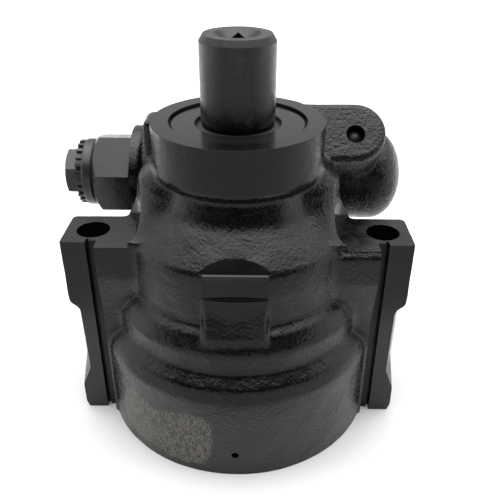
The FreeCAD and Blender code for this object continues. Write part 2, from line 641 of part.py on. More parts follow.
def shaft_seal_lip():
    """Rubber of the shaft seal, with its dust lip and its sprung sealing lip."""
    top = -SEAL_RECESS - SEAL_SHEET
    skirt_end = top - (SEAL_HEIGHT - SEAL_SHEET - 0.5)
    bore = SEAL_LAND_R + LIP_GAP
    wide = SEAL_BORE_R - SEAL_SHEET
    behind_lip = GARTER_R - GARTER_WIRE_R
    return turned([
        (bore, top + 0.6 * SEAL_SHEET, 0), (SEAL_OPENING_R - 0.1, top, 0), (wide, top, 0),
        (wide, skirt_end, 0), (wide - SEAL_SHEET, skirt_end, 0), (wide - SEAL_SHEET, top - SEAL_WEB, 0),
        (GARTER_R - 0.2, top - SEAL_WEB, 0), (behind_lip, top - 2 * SEAL_WEB, 0),
        (behind_lip, GARTER_Z - SEAL_WEB, 0), (bore, GARTER_Z - 0.2, 0),
        (bore + 0.7, top - SEAL_WEB - 1.0, 0),
    ])


def garter_spring():
    """Ring spring that holds the sealing lip on the shaft."""
    return Part.makeTorus(GARTER_R, GARTER_WIRE_R, V(0, 0, GARTER_Z), Z_AXIS)


def shaft_bushing():
    """Plain bearing sleeve of the shaft."""
    return ring(SEAL_LAND_R + RUN_GAP, BUSHING_R, BUSHING_TOP - BUSHING_LENGTH, BUSHING_TOP)


def dowel_bores(low, high):
    """Pair of dowel holes through a plate."""
    return [rod(DOWEL_R + 0.01, low - 1, high + 1, x, 0) for x in (-DOWEL_PITCH_R, DOWEL_PITCH_R)]


def port_pockets(low, high):
    """Kidney ports of a plate beside the rotor: two for suction and two for pressure."""
    pockets = []
    for centre in KIDNEY_CENTRES:
        section = rounded_face([
            (KIDNEY_INNER_R, low, 0), (KIDNEY_OUTER_R, low, 0), (KIDNEY_OUTER_R, high, 0),
            (KIDNEY_INNER_R, high, 0),
        ], lambda u, v: V(u, 0, v))
        pocket = section.revolve(V(0, 0, 0), Z_AXIS, KIDNEY_SPAN)
        pocket.rotate(V(0, 0, 0), Z_AXIS, centre - KIDNEY_SPAN / 2)
        pockets.append(pocket)
    return pockets


def thrust_plate():
    """Plate between the housing's floor and the rotor."""
    plate = ring(SPLINE_R + 1.4, PLATE_R, CAM_TOP, CHAMBER_FLOOR)
    return plate.cut(dowel_bores(CAM_TOP, CHAMBER_FLOOR) + port_pockets(CAM_TOP - 1, CAM_TOP + 1.5))


def cam_ring():
    """Ring with the two-lobed track that the vanes run on."""
    outer = rod(PLATE_R, CAM_BOTTOM, CAM_TOP)
    points = []
    for i in range(CAM_POINTS):
        angle = 360.0 * i / CAM_POINTS
        radius = cam_radius(angle)
        turn = math.radians(angle)
        points.append(V(radius * math.cos(turn), radius * math.sin(turn), CAM_BOTTOM - 1))
    curve = Part.BSplineCurve()
    curve.interpolate(points, PeriodicFlag=True)
    track = Part.Face(Part.Wire(curve.toShape())).extrude(V(0, 0, CAM_RING_THICK + 2))
    return outer.cut([track] + dowel_bores(CAM_BOTTOM, CAM_TOP))


def pump_rotor():
    """Rotor with its splined bore and one slot for each vane."""
    height = CAM_RING_THICK - 2 * FACE_GAP
    bottom = CAM_BOTTOM + FACE_GAP
    rotor = rod(ROTOR_R, bottom, bottom + height)
    bore = spline_outline(SPLINE_ROOT_R + 0.08, SPLINE_R + 0.08, height + 2, bottom - 1)
    cuts = [bore.fuse(rod(SPLINE_ROOT_R + 0.08, bottom - 1, bottom + height + 1))]
    for i in range(VANE_COUNT):
        slot = box(V(SLOT_ROOT_R, -VANE_THICK / 2 - RUN_GAP, bottom - 1),
                   V(ROTOR_R + 2, VANE_THICK / 2 + RUN_GAP, bottom + height + 1))
        slot = slot.fuse(rod(SLOT_ROOT_HOLE_R, bottom - 1, bottom + height + 1, SLOT_ROOT_R, 0))
        slot.rotate(V(0, 0, 0), Z_AXIS, vane_angle(i))
        cuts.append(slot)
    return rotor.cut(cuts)


def vane_angle(index):
    """Angle of a vane's slot at rest."""
    return 360.0 / VANE_COUNT * (index + 0.5)


def pump_vane(index):
    """Flat steel vane with a rounded tip, drawn in to clear the cam ring's near sides."""
    radius = VANE_THICK / 2
    inner = VANE_TIP_R - VANE_LENGTH
    bottom = CAM_BOTTOM + FACE_GAP
    height = CAM_RING_THICK - 2 * FACE_GAP
    blade = box(V(inner, -radius, bottom), V(VANE_TIP_R - radius, radius, bottom + height))
    tip = rod(radius, bottom, bottom + height, VANE_TIP_R - radius, 0)
    vane = blade.fuse(tip).removeSplitter()
    vane.rotate(V(0, 0, 0), Z_AXIS, vane_angle(index))
    return vane


def dowel_pins():
    """Two pins that line up the plates and the cam ring."""
    pins = [
        rod(DOWEL_R, PLATE_BOTTOM + 1.0, CHAMBER_FLOOR + DOWEL_SINK, x, 0)
        for x in (-DOWEL_PITCH_R, DOWEL_PITCH_R)
    ]
    return Part.makeCompound(pins)


def plate_with_o_ring_groove(bottom, top, bore_r):
    """Round plate with a groove in its rim."""
    middle = (bottom + top) / 2
    inner = COVER_R - 2 * O_RING_R - GROOVE_GAP
    groove_half = O_RING_R + 0.15
    return turned([
        (bore_r, top, 0), (COVER_R, top, -0.3), (COVER_R, middle + groove_half, 0),
        (inner, middle + groove_half, 0), (inner, middle - groove_half, 0),
        (COVER_R, middle - groove_half, 0), (COVER_R, bottom, -0.4), (bore_r, bottom, 0),
    ])


def pressure_plate():
    """Plate that the spring and the pump's pressure hold against the cam ring."""
    plate = plate_with_o_ring_groove(PLATE_BOTTOM, CAM_BOTTOM, SPLINE_R + 1.4)
    seat = ring(PLATE_SPRING_R - 2.0, PLATE_SPRING_R + 2.0, PLATE_BOTTOM - 1, PLATE_BOTTOM + 0.8)
    pockets = port_pockets(CAM_BOTTOM - 2.0, CAM_BOTTOM + 1)
    return plate.cut([seat] + pockets + dowel_bores(PLATE_BOTTOM + 1.9, CAM_BOTTOM))


def rim_o_ring(bottom, top):
    """O-ring in the rim groove of the plate between two heights."""
    return Part.makeTorus(COVER_R - O_RING_R, O_RING_R, V(0, 0, (bottom + top) / 2), Z_AXIS)


def pressure_spring():
    """Spring between the end cover and the pressure plate."""
    length = PLATE_SPRING_SPACE + 0.8 - 0.1
    start = V(0, 0, COVER_TOP + 0.05)
    return coil(PLATE_SPRING_R, PLATE_SPRING_WIRE_R, length, 1.75, start, Z_AXIS)


def end_cover():
    """Rear cover plate, dished on its outer face."""
    cover = plate_with_o_ring_groove(COVER_BOTTOM, COVER_TOP, 0)
    dish = turned([
        (0, COVER_BOTTOM - 1, 0), (COVER_DISH_R, COVER_BOTTOM - 1, 0),
        (COVER_DISH_R - 3.0, COVER_BOTTOM + COVER_DISH_DEPTH, 0), (0, COVER_BOTTOM + COVER_DISH_DEPTH, 0),
    ])
    return cover.cut(dish)


def retaining_ring():
    """Open wire ring that holds the end cover, with its gap beside the punch hole."""
    radius = COVER_BORE_R - 0.6
    circle = Part.Wire(Part.makeCircle(RETAINER_WIRE_R - 0.05, V(radius, 0, RETAINER_Z), V(0, 1, 0)))
    wire = Part.Face(circle).revolve(V(0, 0, 0), Z_AXIS, 360 - RETAINER_GAP_DEG)
    wire.rotate(V(0, 0, 0), Z_AXIS, 250.0 + RETAINER_GAP_DEG / 2 - RETAINER_GAP_DEG)
    return wire


def rotor_clip():
    """Open ring in the shaft's groove that keeps the rotor on its splines."""
    low = SPLINE_END_Z + 0.2 + 0.05
    bore_r = SPLINE_ROOT_R - CLIP_GROOVE_DEPTH + GROOVE_GAP
    body = ring(bore_r, SPLINE_R + 0.9, low, low + CLIP_THICK - 0.1)
    return body.cut(box(V(0, -2.0, low - 1), V(20.0, 2.0, low + CLIP_THICK + 1)))


def outlet_fitting():
    """Hexagonal outlet fitting that closes the valve's bore."""
    hexagon = chamfered_hexagon(FITTING_ACROSS, FITTING_HEX_LEFT, FITTING_HEX_RIGHT, FITTING_TURN, 1.6)
    shank = turned_x([
        (FITTING_HEX_RIGHT - 1, 0, 0), (FITTING_HEX_RIGHT - 1, VALVE_THREAD_R - THREAD_RELIEF, 0),
        (VALVE_BOSS_LEFT + 2.0, VALVE_THREAD_R - THREAD_RELIEF, 0),
        (VALVE_BOSS_LEFT + 2.3, VALVE_THREAD_R - 0.05, 0),
        (VALVE_THREAD_END - 0.8, VALVE_THREAD_R - 0.05, -0.6), (VALVE_THREAD_END - 0.8, FITTING_TIP_R, 0),
        (FITTING_TIP_END, FITTING_TIP_R, -0.5), (FITTING_TIP_END, 0, 0),
    ])
    port = turned_x([
        (FITTING_HEX_LEFT - 1, 0, 0), (FITTING_HEX_LEFT - 1, PORT_R + 1.8, 0),
        (FITTING_HEX_LEFT + 0.8, PORT_R, 0), (PORT_END, PORT_R, 0), (PORT_END + 3.5, ORIFICE_R, 0),
        (FITTING_TIP_END + 1, ORIFICE_R, 0), (FITTING_TIP_END + 1, 0, 0),
    ])
    return hexagon.fuse(shank).cut(port).removeSplitter()


def fitting_o_ring():
    """O-ring between the outlet fitting's hexagon and the valve boss."""
    centre = V(FITTING_HEX_RIGHT + GROOVE_GAP + FITTING_RING_R, VALVE_Y, VALVE_Z)
    pitch_r = VALVE_THREAD_R - THREAD_RELIEF + GROOVE_GAP + FITTING_RING_R
    return Part.makeTorus(pitch_r, FITTING_RING_R, centre, X_AXIS)


def port_plug():
    """Plastic plug screwed into the outlet: hexagon, toothed ring, flange and shank."""
    flange_left = FITTING_HEX_LEFT - PLUG_FLANGE_THICK
    teeth_left = flange_left - PLUG_TEETH_THICK
    head_left = teeth_left - PLUG_HEX_LONG
    flange = turned_x([
        (flange_left, 0, 0), (flange_left, PLUG_FLANGE_R, -0.3), (FITTING_HEX_LEFT, PLUG_FLANGE_R, -0.6),
        (FITTING_HEX_LEFT, 0, 0),
    ])
    points = []
    root_r = PLUG_TEETH_R - PLUG_TEETH_DEPTH
    for i in range(PLUG_TEETH):
        for share, radius in ((0.0, root_r), (0.5, root_r), (0.55, PLUG_TEETH_R), (0.95, PLUG_TEETH_R)):
            angle = 2 * math.pi * (i + share) / PLUG_TEETH
            y = VALVE_Y + radius * math.cos(angle)
            points.append(V(teeth_left, y, VALVE_Z + radius * math.sin(angle)))
    points.append(points[0])
    teeth = Part.Face(Part.makePolygon(points)).extrude(V(PLUG_TEETH_THICK, 0, 0))
    head = chamfered_hexagon(PLUG_HEX_ACROSS, head_left, teeth_left, PLUG_HEX_TURN, 0.5)
    shank = turned_x([
        (FITTING_HEX_LEFT, 0, 0), (FITTING_HEX_LEFT, PLUG_SHANK_R, 0),
        (FITTING_HEX_LEFT + PLUG_SHANK_LONG, PLUG_SHANK_R, -0.8), (FITTING_HEX_LEFT + PLUG_SHANK_LONG, 0, 0),
    ])
    return flange.fuse([teeth, head, shank]).removeSplitter()


def passage_ball():
    """Steel ball pressed into the drilled passage to close it."""
    return Part.makeSphere(PASSAGE_R, LUG_CENTRE - LUG_OUT * PASSAGE_BALL_DEPTH)


def flow_spool():
    """Flow-control spool: lands, grooves, relief bore and spring stem."""
    land = VALVE_BORE_R - RUN_GAP
    left = SPOOL_LEFT
    spool = turned_x([
        (left, 0, 0), (left, land - 0.6, 0), (left + 0.6, land, 0), (left + 6.0, land, 0),
        (left + 6.0, SPOOL_GROOVE_R, 0), (left + 13.0, SPOOL_GROOVE_R, 0), (left + 13.0, land, 0),
        (SPOOL_RIGHT, land, -0.4), (SPOOL_RIGHT, SPOOL_STEM_R, 0),
        (SPOOL_RIGHT + SPOOL_STEM_LONG, SPOOL_STEM_R, -0.5), (SPOOL_RIGHT + SPOOL_STEM_LONG, 0, 0),
    ])
    oil_grooves = [
        turned_x([
            (left + x, land - OIL_GROOVE_DEPTH, 0), (left + x, land + 1, 0),
            (left + x + OIL_GROOVE_WIDTH, land + 1, 0),
            (left + x + OIL_GROOVE_WIDTH, land - OIL_GROOVE_DEPTH, 0),
        ])
        for x in OIL_GROOVES
    ]
    bore = valve_rod(SPOOL_BORE_R, left - 1, left + SPOOL_BORE_LONG)
    relief_hole = Part.makeCylinder(
        1.2, 2 * SPOOL_GROOVE_R + 2, V(left + 10.5, VALVE_Y, VALVE_Z - SPOOL_GROOVE_R - 1), Z_AXIS
    )
    return spool.cut(oil_grooves + [bore, relief_hole])


def relief_seat():
    """Seat of the relief ball, screwed into the spool's left end."""
    left = SPOOL_LEFT + 0.2
    right = left + RELIEF_SEAT_LONG
    return turned_x([
        (left, RELIEF_SEAT_HOLE_R, 0), (left, SPOOL_BORE_R - 0.4, 0), (left + 0.4, SPOOL_BORE_R, 0),
        (right, SPOOL_BORE_R, 0), (right, RELIEF_SEAT_HOLE_R, 0),
    ])


def relief_ball_x():
    """Place of the relief ball's centre along the valve's axis, resting on its seat's edge."""
    seat_right = SPOOL_LEFT + 0.2 + RELIEF_SEAT_LONG
    return seat_right + math.sqrt((RELIEF_BALL_R + 0.03) ** 2 - RELIEF_SEAT_HOLE_R ** 2)


def relief_ball():
    """Relief valve's ball."""
    return Part.makeSphere(RELIEF_BALL_R, V(relief_ball_x(), VALVE_Y, VALVE_Z))


def relief_guide():
    """Cupped guide that presses the ball on its seat."""
    left = relief_ball_x() + RELIEF_GUIDE_SET
    guide = valve_rod(RELIEF_GUIDE_R, left, left + RELIEF_GUIDE_LONG)
    stem = valve_rod(RELIEF_STEM_R, left + RELIEF_GUIDE_LONG - 0.5, left + RELIEF_GUIDE_LONG + 1.5)
    cup = Part.makeSphere(RELIEF_BALL_R + 0.01, V(relief_ball_x(), VALVE_Y, VALVE_Z))
    return guide.fuse(stem).cut(cup).removeSplitter()


def relief_spring():
    """Spring behind the relief ball's guide."""
    left = relief_ball_x() + RELIEF_GUIDE_SET + RELIEF_GUIDE_LONG
    right = SPOOL_LEFT + SPOOL_BORE_LONG
    return coil(RELIEF_SPRING_R, RELIEF_WIRE_R, right - left - 0.1, RELIEF_SPRING_TURNS,
                V(left + 0.05, VALVE_Y, VALVE_Z), X_AXIS)


def flow_spring():
    """Spring between the spool and the closed end of the valve's bore."""
    return coil(FLOW_SPRING_R, FLOW_SPRING_WIRE_R, VALVE_BORE_END - SPOOL_RIGHT - 0.1, FLOW_SPRING_TURNS,
                V(SPOOL_RIGHT + 0.05, VALVE_Y, VALVE_Z), X_AXIS)


def build():
    """All pieces by name."""
    pieces = {
        "pump_housing": pump_housing(),
        "drive_shaft": drive_shaft(),
        "shaft_seal_case": shaft_seal_case(),
        "shaft_seal_lip": shaft_seal_lip(),
        "seal_garter_spring": garter_spring(),
        "shaft_bushing": shaft_bushing(),
        "thrust_plate": thrust_plate(),
        "cam_ring": cam_ring(),
        "pump_rotor": pump_rotor(),
        "rotor_clip": rotor_clip(),
        "dowel_pins": dowel_pins(),
        "pressure_plate": pressure_plate(),
        "pressure_plate_o_ring": rim_o_ring(PLATE_BOTTOM, CAM_BOTTOM),
        "pressure_spring": pressure_spring(),
        "end_cover": end_cover(),
        "end_cover_o_ring": rim_o_ring(COVER_BOTTOM, COVER_TOP),
        "retaining_ring": retaining_ring(),
        "outlet_fitting": outlet_fitting(),
        "fitting_o_ring": fitting_o_ring(),
        "port_plug": port_plug(),
        "passage_ball": passage_ball(),
        "flow_spool": flow_spool(),
        "flow_spring": flow_spring(),
        "relief_seat": relief_seat(),
        "relief_ball": relief_ball(),
        "relief_guide": relief_guide(),
        "relief_spring": relief_spring(),
    }
    for index in range(VANE_COUNT):
        pieces[f"pump_vane_{index + 1}"] = pump_vane(index)
    return pieces


for name, shape in build().items():
    shape.exportStep(f"parts/{name}.step")
    print(name, len(shape.Solids), "solid", round(shape.Volume, 2), "mm3", "valid", shape.isValid())
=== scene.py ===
"""Studio scene of a power steering pump with a black-painted cast housing.

Sizes in the classes below are in millimetres, in the part's own frame: the origin is the centre of
the hub's top face, +Z runs out along the shaft, +X is to the right and +Y to the back. Meshes are
made in metres.
"""

import logging
import math
from dataclasses import dataclass, field
from enum import Enum
from typing import Callable, Protocol, Sequence

import bpy
import numpy as np
import openvdb
from bpy.types import ID, Material, Mesh, NodeSocket, NodeTree, Object
from mathutils import Matrix, Vector


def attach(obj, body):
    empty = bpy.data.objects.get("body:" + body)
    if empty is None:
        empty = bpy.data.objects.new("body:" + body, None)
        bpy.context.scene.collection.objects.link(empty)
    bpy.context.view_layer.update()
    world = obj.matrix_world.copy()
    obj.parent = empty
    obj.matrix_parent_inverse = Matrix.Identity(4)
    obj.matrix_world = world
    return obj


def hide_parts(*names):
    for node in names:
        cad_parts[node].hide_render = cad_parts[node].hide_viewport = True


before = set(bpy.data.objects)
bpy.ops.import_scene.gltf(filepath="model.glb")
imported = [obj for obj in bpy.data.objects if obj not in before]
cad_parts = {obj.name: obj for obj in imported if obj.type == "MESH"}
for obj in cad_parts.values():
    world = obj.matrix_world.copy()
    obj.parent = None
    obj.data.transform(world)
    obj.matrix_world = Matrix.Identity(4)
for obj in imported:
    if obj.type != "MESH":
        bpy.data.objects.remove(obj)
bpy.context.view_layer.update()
MM = 0.001
LOG = logging.getLogger("pump")
VANE_COUNT = 10

Point2 = tuple[float, float]
Point3 = tuple[float, float, float]
Corner = tuple[float, float, float]


class Surface(Enum):
    """Material slots of the housing's mesh."""

    CAST = 0
    MACHINED = 1
    SWIRLED = 2
    SLOTTED = 3


def rounded_outline(corners: Sequence[Corner], per_arc: int = 7) -> list[Point2]:
    """Points of a closed outline whose corners are rounded.

    Args:
        corners: (u, v, radius) of each corner; a negative radius is a chamfer of that size.
        per_arc: how many points stand for one rounded corner.

    Returns:
        The outline's points in order.
    """
    points: list[Point2] = []
    count = len(corners)
    for i, (u, v, radius) in enumerate(corners):
        here = Vector((u, v))
        if radius == 0:
            points.append((u, v))
            continue
        before = (Vector(corners[i - 1][:2]) - here).normalized()
        after = (Vector(corners[(i + 1) % count][:2]) - here).normalized()
        if radius < 0:
            points += [tuple(here - before * radius), tuple(here - after * radius)]
            continue
        half = before.angle(after) / 2
        if half > math.radians(89.5):
            points.append((u, v))
            continue
        run = radius / math.tan(half)
        centre = here + (before + after).normalized() * (radius / math.sin(half))
        start = here + before * run - centre
        end = here + after * run - centre
        sweep = start.angle_signed(end)
        for k in range(per_arc):
            turn = -sweep * k / (per_arc - 1)
            c, s = math.cos(turn), math.sin(turn)
            points.append((centre.x + c * start.x - s * start.y, centre.y + s * start.x + c * start.y))
    return points


def outline_distance(points: Sequence[Point2], u: np.ndarray, v: np.ndarray) -> np.ndarray:
    """Signed distance to a closed outline, negative inside.

    Args:
        points: the outline's points.
        u: first coordinates.
        v: second coordinates, of a shape that broadcasts with u.

    Returns:
        The distance at every (u, v).
    """
    u, v = np.broadcast_arrays(u, v)
    nearest = np.full(u.shape, 1e9)
    inside = np.zeros(u.shape, bool)
    for (u0, v0), (u1, v1) in zip(points, list(points[1:]) + [points[0]]):
        du, dv = u1 - u0, v1 - v0
        length = du * du + dv * dv
        if length < 1e-12:
            continue
        t = np.clip(((u - u0) * du + (v - v0) * dv) / length, 0, 1)
        nearest = np.minimum(nearest, (u - u0 - t * du) ** 2 + (v - v0 - t * dv) ** 2)
        if abs(dv) > 1e-12:
            inside ^= ((v0 > v) != (v1 > v)) & (u < u0 + (v - v0) * du / dv)
    return np.where(inside, -1.0, 1.0) * np.sqrt(nearest)


def joined(a: np.ndarray, b: np.ndarray, blend: float) -> np.ndarray:
    """Union of two fields with a cast fillet of about the given size."""
    share = np.maximum(blend - np.abs(a - b), 0) / blend
    return np.minimum(a, b) - share * share * blend / 4


def common(a: np.ndarray, b: np.ndarray, blend: float) -> np.ndarray:
    """Intersection of two fields with a rounded edge of about the given size."""
    return -joined(-a, -b, blend)


def cut_away(a: np.ndarray, b: np.ndarray, blend: float) -> np.ndarray:
    """Field a without field b, with a rounded edge of about the given size."""
    return common(a, -b, blend)


@dataclass
class CastingGrid:
    """Regular grid on which a casting's form is worked out as signed distances.

    Attributes:
        low: lowest corner.
        high: highest corner.
        step: spacing of the grid.
    """

    low: tuple[float, float, float]
    high: tuple[float, float, float]
    step: float

    def __post_init__(self) -> None:
        """Lays out the three axes."""
        ends = zip(self.low, self.high)
        spans = [np.arange(a, b + self.step, self.step, dtype=np.float32) for a, b in ends]
        self.x = spans[0][:, None, None]
        self.y = spans[1][None, :, None]
        self.z = spans[2][None, None, :]

    def turned(self, outline: Sequence[Corner]) -> np.ndarray:
        """Body of revolution about Z.

        Args:
            outline: (radius, z, corner radius) of each corner.

        Returns:
            Its field.
        """
        radii = np.hypot(self.x, self.y)[:, :, 0]
        fine = np.arange(0, radii.max() + 2 * self.step, self.step / 2)
        table = outline_distance(rounded_outline(outline), fine[:, None], self.z[0]).astype(np.float32)
        place = radii / (self.step / 2)
        index = place.astype(int)
        share = (place - index)[:, :, None].astype(np.float32)
        return table[index] * (1 - share) + table[index + 1] * share

    def along(
        self, letter: str, outline: Sequence[Corner], first: float, last: float, edge: float
    ) -> np.ndarray:
        """Prism along X or Y.

        Args:
            letter: "x" or "y", the prism's axis.
            outline: (y or x, z, corner radius) of each corner.
            first: where the prism starts.
            last: where it ends.
            edge: how far the edges of its ends are rounded.

        Returns:
            Its field.
        """
        run, across = (self.x, self.y) if letter == "x" else (self.y, self.x)
        flat = outline_distance(rounded_outline(outline), across, self.z).astype(np.float32)
        return common(flat, np.abs(run - (first + last) / 2) - (last - first) / 2, edge)

    def skin(self, values: np.ndarray, name: str) -> Object:
        """Mesh of the zero surface.

        Args:
            values: the field.
            name: the new object's name.

        Returns:
            The object, in metres.
        """
        reach = 4 * self.step
        volume = openvdb.FloatGrid(reach)
        volume.copyFromArray(np.clip(values, -reach, reach).astype(np.float32))
        points, quads = volume.convertToQuads(isovalue=0.0)
        points = (points * self.step + np.array(self.low)) * MM
        return closed_body(name, points.tolist(), quads.tolist())


def points_of(mesh: Mesh) -> np.ndarray:
    """A mesh's points, one row each."""
    points = np.zeros(len(mesh.vertices) * 3)
    mesh.vertices.foreach_get("co", points)
    return points.reshape(-1, 3)


def signed_volume(mesh: Mesh) -> float:
    """Volume that a closed mesh holds, negative if it is inside out."""
    points = points_of(mesh)
    mesh.calc_loop_triangles()
    tri = np.zeros(len(mesh.loop_triangles) * 3, int)
    mesh.loop_triangles.foreach_get("vertices", tri)
    a, b, c = (points[tri.reshape(-1, 3)[:, i]] for i in range(3))
    return float(np.einsum("ij,ij->i", a, np.cross(b, c)).sum() / 6)


def new_object(data: ID, name: str) -> Object:
    """Object that shows a mesh, camera or light, linked to the scene."""
    made = bpy.data.objects.new(name, data)
    bpy.context.scene.collection.objects.link(made)
    return made


def closed_body(name: str, points: Sequence[Point3], faces: Sequence[Sequence[int]]) -> Object:
    """Object from points in metres, its faces turned outwards."""
    mesh = bpy.data.meshes.new(name)
    mesh.from_pydata(points, [], faces)
    if signed_volume(mesh) < 0:
        mesh.flip_normals()
    return new_object(mesh, name)


def smooth_by_angle(obj: Object, degrees: float = 32.0) -> None:
    """Smooth shading that keeps edges sharper than the angle."""
    mesh = obj.data
    mesh.polygons.foreach_set("use_smooth", [True] * len(mesh.polygons))
    mesh.set_sharp_from_angle(angle=math.radians(degrees))
    mesh.update()


def lathe(
    outline: Sequence[Corner],
    name: str,
    place: Callable[[float, float, float], Vector],
    segments: int = 160,
) -> Object:
    """Closed body of revolution.

    Args:
        outline: (radius, height, corner radius) of each corner; radius 0 lies on the axis.
        name: the new object's name.
        place: turns radius, angle and height into a point in millimetres.
        segments: number of divisions round the axis.

    Returns:
        The object, in metres.
    """
    points = rounded_outline(outline)
    vertices: list[Vector] = []
    rings: list[list[int]] = []
    for radius, height in points:
        steps = 1 if radius < 1e-6 else segments
        rings.append([len(vertices) + k for k in range(steps)] * (segments if steps == 1 else 1))
        vertices += [place(radius, 2 * math.pi * k / segments, height) * MM for k in range(steps)]
    faces = []
    for first, second in zip(rings, rings[1:] + rings[:1]):
        for k in range(segments):
            corners = [first[k], first[(k + 1) % segments], second[(k + 1) % segments], second[k]]
            unique = list(dict.fromkeys(corners))
            if len(unique) > 2:
                faces.append(unique)
    return closed_body(name, [tuple(v) for v in vertices], faces)


def about_z(radius: float, angle: float, height: float) -> Vector:
    """Point of a body that is turned about the shaft's axis."""
    return Vector((radius * math.cos(angle), radius * math.sin(angle), height))


def prism(
    outline: Sequence[Corner], name: str, place: Callable[[float, float], Vector], run: Vector
) -> Object:
    """Closed prism.

    Args:
        outline: (u, v, corner radius) of each corner.
        name: the new object's name.
        place: turns u and v into a point in millimetres.
        run: the prism's direction and length in millimetres.

    Returns:
        The object, in metres.
    """
    base = [place(u, v) for u, v in rounded_outline(outline)]
    count = len(base)
    vertices = [tuple(p * MM) for p in base] + [tuple((p + run) * MM) for p in base]
    faces = [list(range(count))[::-1], list(range(count, 2 * count))]
    faces += [[k, (k + 1) % count, count + (k + 1) % count, count + k] for k in range(count)]
    return closed_body(name, vertices, faces)


def block(low: Sequence[float], high: Sequence[float], name: str) -> Object:
    """Box between two corners in millimetres."""
    outline = [(low[0], low[1], 0), (high[0], low[1], 0), (high[0], high[1], 0), (low[0], high[1], 0)]
    return prism(outline, name, lambda u, v: Vector((u, v, low[2])), Vector((0, 0, high[2] - low[2])))


def drill(start: Vector, run: Vector, radius: float, name: str, segments: int = 64) -> Object:
    """Cylinder in millimetres from start along run."""
    side = run.orthogonal().normalized()
    up = run.normalized().cross(side)
    outline = [
        (radius * math.cos(2 * math.pi * k / segments), radius * math.sin(2 * math.pi * k / segments), 0)
        for k in range(segments)
    ]
    return prism(outline, name, lambda u, v: start + side * u + up * v, run)


def machine(blank: Object, cutters: Sequence[Object], slot: Surface) -> None:
    """Cuts bodies out of a blank; the faces that they leave get the slot's material.

    Args:
        blank: the object that is cut.
        cutters: what is cut away; they are deleted afterwards.
        slot: the surface of the cut faces.
    """
    for cutter in cutters:
        cutter.data.materials.clear()
        for material in blank.data.materials:
            cutter.data.materials.append(material)
        cutter.data.polygons.foreach_set("material_index", [slot.value] * len(cutter.data.polygons))
        cut = blank.modifiers.new(cutter.name, "BOOLEAN")
        cut.operation = "DIFFERENCE"
        cut.solver = "MANIFOLD"
        cut.object = cutter
    shaped = bpy.data.meshes.new_from_object(blank.evaluated_get(bpy.context.evaluated_depsgraph_get()))
    blank.modifiers.clear()
    old = blank.data
    blank.data = shaped
    bpy.data.meshes.remove(old)
    for cutter in cutters:
        bpy.data.objects.remove(cutter)


def lattice_noise(points: np.ndarray, size: float, seed: int) -> np.ndarray:
    """Smooth random value from -1 to 1 at each point.

    Args:
        points: an (n, 3) array in millimetres.
        size: distance between the random lattice's points.
        seed: picks one of many lattices.

    Returns:
        One value per point.
    """
    table = np.random.default_rng(seed).uniform(-1, 1, (64, 64, 64))
    scaled = points / size + 1000.0
    cell = np.floor(scaled).astype(int)
    t = scaled - cell
    t = t * t * (3 - 2 * t)
    total = np.zeros(len(points))
    for corner in np.ndindex(2, 2, 2):
        weight = np.prod(np.where(np.array(corner), t, 1 - t), axis=1)
        index = (cell + np.array(corner)) % 64
        total += weight * table[index[:, 0], index[:, 1], index[:, 2]]
    return total


def smooth_ramp(tree: NodeTree, value: NodeSocket, *ends: float) -> NodeSocket:
    """Smoothly spreads a span over another.

    Args:
        tree: the node tree that the new node joins.
        value: what is spread.
        ends: low and high end of the value's span, then of the span that it is spread over.

    Returns:
        The new node's result.
    """
    node = tree.nodes.new("ShaderNodeMapRange")
    node.interpolation_type = "SMOOTHSTEP"
    tree.links.new(value, node.inputs["Value"])
    for name, number in zip(("From Min", "From Max", "To Min", "To Max"), ends):
        node.inputs[name].default_value = number
    return node.outputs["Result"]


def toned(colour: Sequence[float], factor: float) -> Point3:
    """Colour times a factor."""
    return tuple(c * factor for c in colour)


